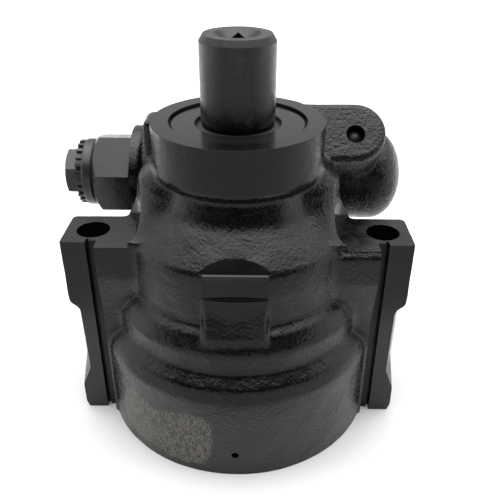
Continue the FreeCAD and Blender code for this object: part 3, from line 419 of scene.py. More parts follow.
class MaterialMaker:
    """Small builder for node materials; lengths that it takes are in millimetres."""

    def __init__(self, name: str, colour: Sequence[float], roughness: float, metallic: float = 0.0) -> None:
        """Starts a Principled material.

        Args:
            name: the material's name.
            colour: base colour, linear.
            roughness: base roughness.
            metallic: 1 for bare metal.
        """
        self.material = bpy.data.materials.new(name)
        self.material.use_nodes = True
        self.tree = self.material.node_tree
        self.shader = self.tree.nodes["Principled BSDF"]
        self.shader.inputs["Base Color"].default_value = (*colour, 1)
        self.shader.inputs["Roughness"].default_value = roughness
        self.shader.inputs["Metallic"].default_value = metallic
        place = self.tree.nodes.new("ShaderNodeTexCoord").outputs["Object"]
        scale = self.tree.nodes.new("ShaderNodeVectorMath")
        scale.operation = "SCALE"
        scale.inputs["Scale"].default_value = 1 / MM
        self.tree.links.new(place, scale.inputs[0])
        self.place = scale.outputs[0]

    def _feed(self, socket: NodeSocket, value: object) -> None:
        """Links a socket to another, or sets its value."""
        if isinstance(value, NodeSocket):
            self.tree.links.new(value, socket)
        elif value is not None:
            socket.default_value = value

    def noise(
        self, size: float, detail: float = 2.0, roughness: float = 0.5, stretch: Sequence[float] = (1, 1, 1)
    ) -> NodeSocket:
        """Fractal noise whose largest lumps are about size across.

        Args:
            size: lump size in millimetres.
            detail: octaves of finer detail.
            roughness: how strong the finer octaves are.
            stretch: the lumps' length along each axis, as a multiple of size.

        Returns:
            The noise's value socket, from 0 to 1.
        """
        scaled = self.vector("MULTIPLY", self.place, tuple(1 / s for s in stretch))
        node = self.tree.nodes.new("ShaderNodeTexNoise")
        self.tree.links.new(scaled, node.inputs["Vector"])
        node.inputs["Scale"].default_value = 1 / size
        node.inputs["Detail"].default_value = detail
        node.inputs["Roughness"].default_value = roughness
        return node.outputs["Fac"]

    def cells(self, size: float, smoothness: float = 0.6) -> NodeSocket:
        """Distance to the nearest of many scattered points about size apart."""
        node = self.tree.nodes.new("ShaderNodeTexVoronoi")
        node.feature = "SMOOTH_F1"
        self.tree.links.new(self.place, node.inputs["Vector"])
        node.inputs["Scale"].default_value = 1 / size
        node.inputs["Smoothness"].default_value = smoothness
        return node.outputs["Distance"]

    def vector(self, operation: str, a: object, b: object = None) -> NodeSocket:
        """Vector maths on two inputs."""
        node = self.tree.nodes.new("ShaderNodeVectorMath")
        node.operation = operation
        self._feed(node.inputs[0], a)
        self._feed(node.inputs[1], b)
        return node.outputs["Value" if operation in ("LENGTH", "DISTANCE", "DOT_PRODUCT") else "Vector"]

    def maths(self, operation: str, a: object, b: object = None) -> NodeSocket:
        """Maths on one or two inputs."""
        node = self.tree.nodes.new("ShaderNodeMath")
        node.operation = operation
        for socket, value in zip(node.inputs, (a, b)):
            self._feed(socket, value)
        return node.outputs[0]

    def times(self, a: object, b: object) -> NodeSocket:
        """Product of two inputs."""
        return self.maths("MULTIPLY", a, b)

    def remap(
        self, value: object, low: float, high: float, to_low: float = 0.0, to_high: float = 1.0
    ) -> NodeSocket:
        """Smoothly spreads the span from low to high over to_low to to_high."""
        return smooth_ramp(self.tree, value, low, high, to_low, to_high)

    def axis(self, letter: str) -> NodeSocket:
        """One coordinate of the surface point, in millimetres."""
        node = self.tree.nodes.new("ShaderNodeSeparateXYZ")
        self.tree.links.new(self.place, node.inputs[0])
        return node.outputs[letter]

    def painted(self, name: str) -> NodeSocket:
        """A value that is stored on the mesh's points."""
        node = self.tree.nodes.new("ShaderNodeAttribute")
        node.attribute_name = name
        return node.outputs["Fac"]

    def mix(self, share: object, a: object, b: object) -> NodeSocket:
        """Colour between a and b."""
        node = self.tree.nodes.new("ShaderNodeMix")
        node.data_type = "RGBA"
        self._feed(node.inputs[0], share)
        self._feed(node.inputs[6], (*a, 1) if isinstance(a, tuple) else a)
        self._feed(node.inputs[7], (*b, 1) if isinstance(b, tuple) else b)
        return node.outputs[2]

    def bump(self, height: object, depth: float, under: object = None) -> NodeSocket:
        """Bumped normal.

        Args:
            height: the height socket, from 0 to 1.
            depth: how deep one unit of height is, in millimetres.
            under: the normal that is bumped further.

        Returns:
            The normal socket.
        """
        node = self.tree.nodes.new("ShaderNodeBump")
        node.inputs["Distance"].default_value = depth * MM
        node.inputs["Strength"].default_value = 1.0
        self._feed(node.inputs["Height"], height)
        self._feed(node.inputs["Normal"], under)
        return node.outputs["Normal"]

    def soft_edges(self, radius: float) -> NodeSocket:
        """Normal that rounds sharp edges by a radius."""
        node = self.tree.nodes.new("ShaderNodeBevel")
        node.samples = 6
        node.inputs["Radius"].default_value = radius * MM
        return node.outputs["Normal"]

    def finish(
        self, colour: object = None, roughness: object = None, normal: object = None
    ) -> Material:
        """Links what varies over the surface and hands the material over."""
        self._feed(self.shader.inputs["Base Color"], colour)
        self._feed(self.shader.inputs["Roughness"], roughness)
        self._feed(self.shader.inputs["Normal"], normal)
        return self.material


class Finish(Protocol):
    """Surface finish that can be made into a node material."""

    def material(self) -> Material:
        """The finish as a node material."""


@dataclass(frozen=True)
class CastPaint:
    """Black paint over a sand casting's grainy skin.

    Attributes:
        colour: the paint, linear.
        residue: paper and glue that an old sticker left.
        grain: size of the sand's grains.
        depth: depth of the grains.
        shine: strength of its reflections.
        hub: radius and foot of the turned hub, where the grain is fainter.
    """

    colour: tuple[float, float, float] = (0.0018, 0.0018, 0.0019)
    residue: tuple[float, float, float] = (0.115, 0.109, 0.083)
    grain: float = 0.75
    depth: float = 0.14
    shine: float = 0.43
    hub: tuple[float, float] = (22.9, -13.4)

    def material(self) -> Material:
        """The finish as a node material."""
        made = MaterialMaker("cast_paint", self.colour, 0.42)
        made.shader.inputs["Specular IOR Level"].default_value = self.shine
        fine = made.noise(self.grain, 3.0, 0.62)
        lumps = made.cells(self.grain * 1.5)
        broad = made.noise(6.0, 2.0, 0.5)
        height = made.maths("ADD", fine, made.times(lumps, 0.25))
        away = made.vector("LENGTH", made.vector("MULTIPLY", made.place, (1, 1, 0)))
        hub_radius, hub_foot = self.hub
        turned = made.times(made.remap(away, hub_radius, hub_radius + 0.5, 1.0, 0.0),
                            made.remap(made.axis("Z"), hub_foot - 0.6, hub_foot))
        height = made.times(height, made.maths("SUBTRACT", 1.0, made.times(turned, 0.55)))
        coarse = made.times(made.remap(made.axis("X"), 12.0, 24.0), made.remap(away, 23.0, 24.5))
        coarse = made.times(coarse, made.remap(made.axis("Z"), -39.0, -34.0))
        hammered = made.times(made.noise(1.1, 3.0, 0.6), made.times(coarse, 2.2))
        height = made.maths("ADD", height, hammered)
        grain = made.bump(height, self.depth)
        grain = made.bump(broad, 0.25, grain)
        torn = made.noise(1.3, 5.0, 0.75, (0.6, 1.0, 1.6))
        flecks = made.noise(0.36, 3.0, 0.75, (0.8, 1.0, 1.4))
        patch = made.times(made.painted("residue"), made.remap(torn, 0.38, 0.54))
        patch = made.times(patch, made.remap(flecks, 0.42, 0.58))
        shade = made.mix(made.remap(broad, 0.35, 0.7), self.colour, toned(self.colour, 1.35))
        colour = made.mix(patch, shade, made.mix(flecks, self.residue, toned(self.residue, 2.2)))
        gloss = made.remap(fine, 0.3, 0.75, 0.20, 0.31)
        roughness = made.maths("ADD", gloss, made.times(patch, 0.4))
        return made.finish(colour, roughness, grain)


@dataclass(frozen=True)
class MachinedPaint:
    """Black paint over a milled or turned face.

    Attributes:
        name: the material's name.
        colour: the paint, linear.
        roughness: its gloss.
        edge: how far sharp edges are broken.
        shine: strength of its reflections.
    """

    name: str = "machined_paint"
    colour: tuple[float, float, float] = (0.0040, 0.0040, 0.0042)
    roughness: float = 0.20
    edge: float = 0.18
    shine: float = 0.44

    def material(self) -> Material:
        """The finish as a node material."""
        made = MaterialMaker(self.name, self.colour, self.roughness)
        made.shader.inputs["Specular IOR Level"].default_value = self.shine
        orange_peel = made.noise(0.8, 2.0, 0.5)
        normal = made.bump(orange_peel, 0.012, made.soft_edges(self.edge))
        dull = made.noise(5.0, 3.0, 0.6)
        roughness = made.remap(dull, 0.3, 0.7, self.roughness * 0.85, self.roughness * 1.25)
        colour = made.mix(dull, self.colour, toned(self.colour, 1.3))
        return made.finish(colour, roughness, normal)


@dataclass(frozen=True)
class SwirledPaint:
    """Black paint over the rings that an end mill left on the ears' top faces.

    Attributes:
        centre: (x, y) of the mill's axis at the right ear, and its radius.
        colour: the paint, linear.
        spacing: distance from ring to ring.
    """

    centre: Corner
    colour: tuple[float, float, float] = (0.0025, 0.0025, 0.0026)
    spacing: float = 0.9

    def material(self) -> Material:
        """The finish as a node material."""
        made = MaterialMaker("swirled_paint", self.colour, 0.26)
        x, y, _ = self.centre
        across = made.maths("SUBTRACT", made.maths("ABSOLUTE", made.axis("X")), x - 2.0)
        along = made.maths("SUBTRACT", made.axis("Y"), y + 1.0)
        away = made.maths("SQRT", made.maths(
            "ADD", made.times(across, across), made.times(along, along)))
        wave = made.maths("SINE", made.times(away, 2 * math.pi / self.spacing))
        uneven = made.noise(2.5, 3.0, 0.6)
        normal = made.bump(made.times(wave, uneven), 0.035, made.soft_edges(0.18))
        normal = made.bump(made.noise(0.8, 3.0, 0.6), 0.008, normal)
        colour = made.mix(uneven, self.colour, toned(self.colour, 1.3))
        return made.finish(colour, made.remap(uneven, 0.3, 0.7, 0.2, 0.34), normal)


@dataclass(frozen=True)
class ShaftPaint:
    """Thin black paint on a ground shaft, with a lighter grey colour along its right side.

    Attributes:
        colour: the paint, linear.
        metal: lighter grey colour that is mixed in along the right side, and in part in the specks at the
            smudge.
        smudge: where a small smear of grit sticks to it.
    """

    colour: tuple[float, float, float] = (0.0026, 0.0026, 0.0026)
    metal: tuple[float, float, float] = (0.15, 0.145, 0.14)
    smudge: tuple[float, float, float] = (2.0, -9.3, 2.4)

    def material(self) -> Material:
        """The finish as a node material."""
        made = MaterialMaker("shaft_paint", self.colour, 0.30)
        mottled = made.noise(1.6, 4.0, 0.6)
        scored = made.noise(0.35, 2.0, 0.5, (6, 6, 1))
        normal = made.bump(scored, 0.010, made.soft_edges(0.2))
        # share of the lighter grey colour: along the right side, where X is past 8.9 mm
        side = made.remap(made.axis("X"), 8.9, 9.5)
        lighter_share = made.times(side, made.remap(made.noise(1.1, 4.0, 0.7), 0.50, 0.62))
        off = made.vector("DISTANCE", made.place, self.smudge)
        specks = made.times(made.remap(off, 1.0, 2.6, 1.0, 0.0),
                            made.remap(made.noise(0.9, 4.0, 0.7), 0.52, 0.60))
        lighter_share = made.maths("MAXIMUM", lighter_share, made.times(specks, 0.35))
        colour = made.mix(lighter_share, made.mix(mottled, self.colour, toned(self.colour, 1.5)), self.metal)
        roughness = made.remap(mottled, 0.3, 0.7, 0.24, 0.36)
        return made.finish(colour, roughness, normal)


@dataclass(frozen=True)
class PlugPaint:
    """Coloured plastic that has been sprayed black, its own colour showing underneath.

    Attributes:
        colour: the spray, linear.
        plastic: the plastic's own colour.
    """

    colour: tuple[float, float, float] = (0.024, 0.024, 0.024)
    plastic: tuple[float, float, float] = (0.42, 0.03, 0.015)

    def material(self) -> Material:
        """The finish as a node material."""
        made = MaterialMaker("plug_paint", self.colour, 0.30)
        texture = made.noise(0.9, 3.0, 0.6)
        normal = made.bump(texture, 0.02, made.soft_edges(0.15))
        low = made.remap(made.axis("Z"), -33.0, -35.4)
        missed = made.times(low, made.remap(made.noise(1.5, 3.0, 0.6), 0.44, 0.56))
        return made.finish(made.mix(missed, self.colour, self.plastic), None, normal)


@dataclass(frozen=True)
class BareMetal:
    """Unpainted metal of an inner piece.

    Attributes:
        name: the material's name.
        colour: reflected colour, linear.
        roughness: its polish.
        grain: size of the machining marks.
        stretch: the marks' length along each axis, as a multiple of grain.
    """

    name: str
    colour: tuple[float, float, float]
    roughness: float
    grain: float = 0.4
    stretch: tuple[float, float, float] = (1, 1, 1)

    def material(self) -> Material:
        """The finish as a node material."""
        made = MaterialMaker(self.name, self.colour, self.roughness, 1.0)
        marks = made.noise(self.grain, 3.0, 0.55, self.stretch)
        film = made.noise(4.0, 3.0, 0.6)
        normal = made.bump(marks, 0.008, made.soft_edges(0.12))
        colour = made.mix(film, toned(self.colour, 0.8), self.colour)
        roughness = made.remap(film, 0.3, 0.7, self.roughness * 0.8, self.roughness * 1.25)
        return made.finish(colour, roughness, normal)


@dataclass(frozen=True)
class SealRubber:
    """Oiled black rubber of seals and O-rings.

    Attributes:
        colour: the rubber, linear.
    """

    colour: tuple[float, float, float] = (0.004, 0.004, 0.004)

    def material(self) -> Material:
        """The finish as a node material."""
        made = MaterialMaker("seal_rubber", self.colour, 0.5)
        bloom = made.noise(1.2, 3.0, 0.6)
        colour = made.mix(bloom, self.colour, toned(self.colour, 1.8))
        return made.finish(colour, made.remap(bloom, 0.3, 0.7, 0.4, 0.6), made.bump(bloom, 0.02))


def dress_nodes(nodes: Sequence[str], material: Material) -> None:
    """Gives CAD nodes a material and smooth shading.

    Args:
        nodes: the nodes' names.
        material: what they are made of.
    """
    for name in nodes:
        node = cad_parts[name]
        node.data.materials.clear()
        node.data.materials.append(material)
        smooth_by_angle(node)


@dataclass
class PumpHousing:
    """Cast housing: hub, stepped body, ears, clip pad, valve boss, passage lug and inlet.

    The casting is worked out on a grid, so that its parts run into each other with cast fillets.
    Faces, bores and slots are then machined with crisp edges. Names that end in top, step, lip or
    side give depths below the hub's face; flare_from and flare_to are degrees from the front.
    ear_cut is the (x, y, radius) of the end mill's cut on the right ear, residue the outline of a
    lost sticker in degrees from the front and height.
    """

    step: float = 0.62
    hub_radius: float = 22.4
    hub_side: float = 13.2
    height: float = 85.6
    neck_radius: float = 19.4
    wall_radius: float = 39.3
    cheek_top: float = 10.5
    cheek_radius: float = 26.5
    flare_from: float = 48.0
    flare_to: float = 80.0
    ear_top: float = 28.5
    ear_outer: float = 46.1
    ear_waist: float = 43.3
    ear_front: float = -14.2
    ear_back: float = 0.8
    ear_cut: Corner = (38.6, -8.6, 13.5)
    ear_hole: Point2 = (38.8, -7.1)
    ear_hole_radius: float = 4.45
    slot: Point2 = (36.7, 39.5)
    slot_depth: float = 1.1
    relief_width: float = 0.7
    relief_depth: float = 1.0
    pad_half_width: float = 7.9
    pad_face: float = -29.9
    pad_lip: float = 28.5
    pad_step: float = 35.2
    valve_y: float = 28.0
    valve_z: float = -26.5
    valve_radius: float = 13.6
    valve_left: float = -32.6
    collar_right: float = -29.4
    collar_rise: float = 0.9
    dome_start: float = 40.7
    dome_end: float = 49.2
    lug_centre: Vector = field(default_factory=lambda: Vector((32.0, 10.0, -7.1)))
    lug_radius: float = 8.5
    lug_shift: float = 0.7
    lug_rise: float = 42.0
    lug_left: float = 12.0
    lug_depth: float = 18.0
    passage_radius: float = 2.6
    inlet_z: float = -56.0
    inlet_face: float = 44.0
    inlet_radius: float = 10.5
    inlet_bore: float = 7.0
    cast_lumps: float = 0.10
    residue: tuple[Point2, ...] = (
        (-51.0, -69.0), (-44.5, -65.5), (-35.4, -67.8), (-30.0, -67.7), (-19.0, -65.5), (-8.5, -66.1),
        (-7.5, -69.5), (-8.4, -75.0), (-10.8, -83.7), (-18.3, -83.7), (-32.3, -83.4), (-44.2, -83.9),
        (-54.4, -82.7), (-54.9, -75.2),
    )

    def build(self) -> Object:
        """Makes the housing's mesh.

        Returns:
            The finished object, riding on the housing's body.
        """
        step = self.step * 1.0
        grid = CastingGrid((-49.0, -43.0, -88.0), (52.0, 47.0, 3.0), step)
        blank = grid.skin(self.casting(grid), "pump_housing_cast")
        self.roughen(blank)
        slot_paint = MachinedPaint("slot_paint", roughness=0.32, shine=0.26)
        for finish in (CastPaint(), MachinedPaint(), SwirledPaint(self.ear_cut), slot_paint):
            blank.data.materials.append(finish.material())
        machine(blank, self.both(self.ear_top_cutters), Surface.SWIRLED)
        machine(blank, self.both(self.slot_cutters), Surface.SLOTTED)
        machine(blank, self.cutters(), Surface.MACHINED)
        self.mark_residue(blank)
        smooth_by_angle(blank, 40.0)
        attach(blank, "housing")
        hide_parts("pump_housing")
        return blank

    def casting(self, g: CastingGrid) -> np.ndarray:
        """Field of the raw casting.

        Args:
            g: the grid that it is worked out on.

        Returns:
            The casting's signed distances.
        """
        over = 1.5
        hub = g.turned([
            (0, over, 0), (self.hub_radius, over, 0), (self.hub_radius, -self.hub_side - 0.4, 2.4),
            (0, -self.hub_side - 0.4, 0),
        ])
        lower = [
            (31.2, -43.0, 1.0), (33.4, -44.9, 1.5), (35.4, -48.6, 2.5), (35.4, -54.3, 1.5),
            (38.3, -57.2, 2.5), (self.wall_radius, -60.6, 3.0),
            (self.wall_radius, -self.height - over, 0), (0, -self.height - over, 0),
        ]
        necked = g.turned([
            (0, -self.hub_side + 1.5, 0), (self.neck_radius, -self.hub_side + 1.5, 0),
            (self.neck_radius, -13.6, 0), (self.neck_radius + 2.5, -19.75, 9.0), (31.2, -28.9, 3.5), *lower,
        ])
        flared = g.turned([
            (0, -self.cheek_top, 0), (self.hub_radius - 0.3, -self.cheek_top, 0),
            (self.cheek_radius, -14.5, 2.6), (self.cheek_radius + 1.2, -21.5, 6.0),
            (self.cheek_radius + 2.3, -24.5, 3.0), (31.2, -28.9, 2.5), *lower,
        ])
        share = self.flare(g)
        body = joined(necked * (1 - share) + flared * share, hub, 1.8)
        body = joined(body, self.bridge(g), 1.4)
        body = joined(body, self.valve_boss(g), 1.6)
        body = joined(body, self.lug(g), 1.2)
        body = joined(body, self.inlet(g), 3.0)
        for side in (-1, 1):
            body = joined(body, self.ear(g, side), 1.4)
        return joined(body, self.pad(g), 1.2)

    def flare(self, g: CastingGrid) -> np.ndarray:
        """Share, from 0 in front to 1 at the sides and back, of the flare below the hub."""
        azimuth = np.degrees(np.arctan2(np.abs(g.x), -g.y))
        first, last = self.flare_from, self.flare_to
        t = np.clip((azimuth - first) / (last - first), 0, 1)
        return (t * t * (3 - 2 * t)).astype(np.float32)

    def bridge(self, g: CastingGrid) -> np.ndarray:
        """Field of the web from the hub and body back to the valve boss."""
        sides = g.along("y", [
            (-26.5, -3.0, 2.6), (22.0, -3.0, 2.6), (22.0, -30.0, 6.0), (11.0, self.inlet_z, 0),
            (-11.0, self.inlet_z, 0), (-26.5, -30.0, 6.0),
        ], 8.5, 60.0, 1.4)
        side_view = g.along("x", [
            (4.0, -3.0, 0), (17.3, -3.0, 3.0), (31.0, -13.4, 5.0), (37.0, -35.5, 0),
            (34.0, self.inlet_z, 0), (4.0, self.inlet_z, 0),
        ], -60.0, 60.0, 1.0)
        return common(sides, side_view, 2.0)

    def valve_boss(self, g: CastingGrid) -> np.ndarray:
        """Field of the valve's boss with its domed right end and its collar at the left."""
        radial = np.hypot(g.y - self.valve_y, g.z - self.valve_z)
        left = self.valve_left - 1.5
        bar = common(radial - self.valve_radius, np.maximum(left - g.x, g.x - self.dome_start), 0.6)
        collar = radial - self.valve_radius - self.collar_rise
        collar = common(collar, np.maximum(left - g.x, g.x - self.collar_right), 1.2)
        squash = self.valve_radius / (self.dome_end - self.dome_start)
        along = np.maximum(g.x - self.dome_start, 0) * squash
        dome = np.sqrt(radial**2 + along**2) - self.valve_radius
        dome = np.maximum(dome, self.dome_start - 4.0 - g.x)
        return joined(joined(bar, collar, 0.8), dome.astype(np.float32), 0.4)

    def lug_axes(self) -> tuple[Vector, Vector]:
        """Outward normal of the lug's face and the direction up along the face."""
        rise = math.radians(self.lug_rise)
        return Vector((0, -math.cos(rise), math.sin(rise))), Vector((0, math.sin(rise), math.cos(rise)))

    def lug(self, g: CastingGrid) -> np.ndarray:
        """Field of the drilled passage's slanted lug."""
        out, up = self.lug_axes()
        dy, dz = g.y - self.lug_centre.y, g.z - self.lug_centre.z
        depth = -(dy * out.y + dz * out.z)
        height = dy * up.y + dz * up.z - self.lug_shift
        past = np.maximum(g.x - self.lug_centre.x, 0) + np.minimum(g.x - self.lug_left, 0)
        shape = np.hypot(past, height) - self.lug_radius
        return common(shape, np.maximum(-depth, depth - self.lug_depth), 1.6).astype(np.float32)

    def inlet(self, g: CastingGrid) -> np.ndarray:
        """Field of the inlet's boss at the back."""
        radial = np.hypot(g.x + 0 * g.y, g.z - self.inlet_z) - self.inlet_radius
        return common(radial, np.maximum(24.0 - g.y, g.y - self.inlet_face - 1.0), 1.0)

    def ear(self, g: CastingGrid, side: int) -> np.ndarray:
        """Field of one ear with its web.

        Args:
            g: the grid.
            side: 1 for the right ear, -1 for the left.

        Returns:
            The ear's signed distances.
        """
        mirrored = CastingGrid(g.low, g.high, g.step)
        mirrored.x = g.x * side
        top, bottom = -self.ear_top + 1.5, -self.height - 1.5
        block_field = mirrored.along("y", [
            (20.0, top, 0), (self.ear_outer, top, 0), (self.ear_outer, bottom, 0), (20.0, bottom, 0),
        ], self.ear_front - 1.2, self.ear_back, 1.6)
        lean = np.clip((g.y - self.ear_front) * 0.37, 0.0, 3.2)
        relief = outline_distance(rounded_outline([
            (70.0, -45.5, 0), (self.ear_outer + 0.1, -45.5, 0), (self.ear_outer - 0.1, -47.2, 2.0),
            (self.ear_waist, -49.4, 2.4), (self.ear_waist - 0.2, -70.4, 3.5), (45.8, -77.0, 3.0),
            (45.8, -83.4, 1.5), (44.9, -self.height, 0), (44.9, bottom, 0), (70.0, bottom, 0),
        ]), (mirrored.x - lean)[:, :, 0][:, :, None], g.z).astype(np.float32)
        block_field = cut_away(block_field, relief, 0.6)
        front = -18.8 if side > 0 else -16.9
        ledge = 1.5 if side > 0 else 0.0
        outline = [
            (self.ear_front + 4.0, top, 0), (front + ledge, top, 0), (front + ledge, -self.ear_top, 0),
            (front, -self.ear_top - ledge - 0.1, 0.6), (front, -self.ear_top - 9.5, 8.0),
            (self.ear_front + 0.9, -60.0, 0), (self.ear_front + 4.0, -60.0, 0),
        ]
        web = mirrored.along("x", outline, 20.0, self.slot[0] + 1.0, 0.4)
        return joined(block_field, web, 0.6)

    def pad(self, g: CastingGrid) -> np.ndarray:
        """Field of the cast pad on the front."""
        return g.along("x", [
            (-24.0, -32.0, 0), (-29.0, -32.0, 0), (-33.9, -45.2, 1.2),
            (-32.0, -47.4, 1.0), (-24.0, -47.4, 0),
        ], -self.pad_half_width, self.pad_half_width, 1.4)

    def roughen(self, blank: Object) -> None:
        """Makes the casting's skin a little uneven.

        Args:
            blank: the raw casting.
        """
        mesh = blank.data
        points = points_of(mesh)
        normals = np.zeros(len(points) * 3, np.float32)
        mesh.vertex_normals.foreach_get("vector", normals)
        shift = lattice_noise(points / MM, 5.5, 3) + 0.25 * lattice_noise(points / MM, 1.9, 8)
        points += normals.reshape(-1, 3) * (shift * self.cast_lumps * MM)[:, None]
        mesh.vertices.foreach_set("co", points.ravel())
        mesh.update()

    def cutters(self) -> list[Object]:
        """Everything that is machined out of the casting."""
        inlet_mouth = Vector((0, self.inlet_face + 2, self.inlet_z))
        tools = [
            block((-60, -60, 0), (60, 60, 10), "cut_top"),
            block((-60, -60, -95), (60, 60, -self.height), "cut_rim"),
            self.shaft_bores(),
            self.valve_bore(),
            block((-60, 12, -43), (self.valve_left, 45, -10), "cut_boss_face"),
            block((-30, self.inlet_face, -80), (30, 60, -30), "cut_inlet_face"),
            drill(inlet_mouth, Vector((0, -11, 0)), self.inlet_bore, "cut_inlet"),
            drill(Vector((0, -32, -78.45)), Vector((0, -12, 0)), 1.0, "cut_punch_hole", 32),
            self.passage(),
            self.pad_face_cutter(),
            self.pad_notch(),
        ]
        return tools + self.both(self.ear_cutters)

    @staticmethod
    def both(cutters: Callable[[int], list[Object]]) -> list[Object]:
        """Cutters of the left ear, then of the right one."""
        return [tool for side in (-1, 1) for tool in cutters(side)]

    def shaft_bores(self) -> Object:
        """Cutter of the seal's, the bushing's and the cartridge's bores."""
        return lathe([
            (0, 2, 0), (17.85, 2, 0), (17.85, -1.5, 0), (17.46, -1.5, 0), (17.46, -9.0, 0), (10.3, -9.0, 0),
            (10.3, -12.0, 0), (11.63, -12.0, 0), (11.63, -46.5, 0), (30.3, -46.5, 0), (30.3, -62.0, 0),
            (33.0, -62.0, 0), (33.0, -77.28, 0), (34.25, -77.28, 0), (34.25, -79.62, 0), (33.0, -79.62, 0),
            (33.0, -84.4, 0), (34.2, -85.6, 0), (34.2, -87.0, 0), (0, -87.0, 0),
        ], "cut_shaft_bores", about_z, 192)

    def valve_bore(self) -> Object:
        """Cutter of the valve's bore and its threaded mouth."""

        def place(radius: float, angle: float, along: float) -> Vector:
            """Point about the valve's axis."""
            return Vector((
                along, self.valve_y + radius * math.cos(angle), self.valve_z + radius * math.sin(angle)
            ))

        left = self.valve_left
        return lathe([
            (0, left - 2, 0), (13.0, left - 2, 0), (11.0, left, 0), (9.6, left + 1.6, 0), (9.6, -24.0, 0),
            (8.0, -24.0, 0), (8.0, 37.0, 0), (0, 41.0, 0),
        ], "cut_valve_bore", place, 96)

    def passage(self) -> Object:
        """Cutter of the drilled passage in the lug."""
        out, _ = self.lug_axes()
        return drill(self.lug_centre + out * 3, out * -28, self.passage_radius, "cut_passage", 48)

    def pad_face_cutter(self) -> Object:
        """Cutter of the pad's milled face."""
        top = -self.pad_lip + 0.001
        half = self.pad_half_width
        return prism(
            [(self.pad_face + 0.6, top, 0), (-45.0, top, 0), (-45.0, -self.pad_step, 0),
             (self.pad_face, -self.pad_step, 0), (self.pad_face, top - 0.35, 0)],
            "cut_pad_face", lambda u, v: Vector((-half, u, v)), Vector((2 * half, 0, 0)),
        )

    def pad_notch(self) -> Object:
        """Cutter of the slanted notch above the pad."""
        lip = self.pad_face + 0.6
        rise = 8.0
        back = lip + rise * math.tan(math.radians(30))
        return prism(
            [(lip, -self.pad_lip, 0), (back, -self.pad_lip + rise, 0), (-45.0, -self.pad_lip + rise, 0),
             (-45.0, -self.pad_lip, 0)],
            "cut_pad_notch", lambda u, v: Vector((-13.0, u, v)), Vector((26.0, 0, 0)),
        )

    def ear_top_cutters(self, side: int) -> list[Object]:
        """Round end-mill's cut and the straight cut that make one ear's top face."""
        x, y, radius = self.ear_cut
        ends = sorted((side * x, side * 62.0))
        foot, rise = -self.ear_top, 23.9
        return [
            drill(Vector((side * x, y, foot)), Vector((0, 0, rise)), radius, f"cut_round_{side}", 120),
            block((ends[0], -40.0, foot), (ends[1], 2.0, foot + rise), f"cut_far_{side}"),
        ]

    def upright(self, side: int, low: Point2, high: Point2, label: str) -> Object:
        """Cutter that runs the whole height of an ear.

        Args:
            side: 1 for the right ear, -1 for the left.
            low: inner front corner in plan.
            high: outer back corner in plan.
            label: the cutter's name.

        Returns:
            The cutter.
        """
        ends = sorted((side * low[0], side * high[0]))
        bottom, top = -self.height - 2, -self.ear_top + 2
        return block((ends[0], low[1], bottom), (ends[1], high[1], top), f"{label}_{side}")

    def slot_cutters(self, side: int) -> list[Object]:
        """Cutters of one ear's slot and of the relief in the slot's corner."""
        inner, outer = self.slot
        floor = self.ear_front + self.slot_depth
        return [
            self.upright(side, (inner, -30.0), (outer, floor), "cut_slot"),
            self.upright(side, (outer - self.relief_width, floor - 0.2), (outer, floor + self.relief_depth),
                         "cut_relief"),
        ]

    def ear_cutters(self, side: int) -> list[Object]:
        """Cutters of one ear's front strip and bolt hole."""
        hole = Vector((side * self.ear_hole[0], self.ear_hole[1], -self.height - 2))
        run = Vector((0, 0, self.height - self.ear_top + 4))
        return [
            self.upright(side, (self.slot[1] - 0.01, -30.0), (60.0, self.ear_front), "cut_strip"),
            drill(hole, run, self.ear_hole_radius, f"cut_hole_{side}", 72),
        ]

    def mark_residue(self, housing: Object) -> None:
        """Stores on the mesh where the remains of an old paper sticker lie.

        Args:
            housing: the machined housing.
        """
        mesh = housing.data
        points = points_of(mesh) / MM
        angle = np.degrees(np.arctan2(points[:, 0], -points[:, 1]))
        ragged = lattice_noise(points, 2.2, 21) * 0.9
        per_degree = math.radians(self.wall_radius)
        outline = [(a * per_degree, z) for a, z in self.residue]
        depth = -outline_distance(outline, angle * per_degree, points[:, 2]) + ragged
        on_wall = np.hypot(points[:, 0], points[:, 1]) > self.wall_radius - 1.5
        stored = mesh.attributes.new("residue", "FLOAT", "POINT")
        stored.data.foreach_set("value", np.clip(depth * 1.2, 0, 1) * on_wall)


@dataclass(frozen=True)
class InnerGroup:
    """Pieces that keep their CAD form and get a finish.

    Attributes:
        name: what the log calls the group.
        finishes: each finish with the nodes that have it.
    """

    name: str
    finishes: tuple[tuple[Finish, tuple[str, ...]], ...]

    def build(self) -> int:
        """Dresses the group's nodes.

        Returns:
            How many nodes were dressed.
        """
        for finish, nodes in self.finishes:
            dress_nodes(nodes, finish.material())
        return sum(len(nodes) for _, nodes in self.finishes)


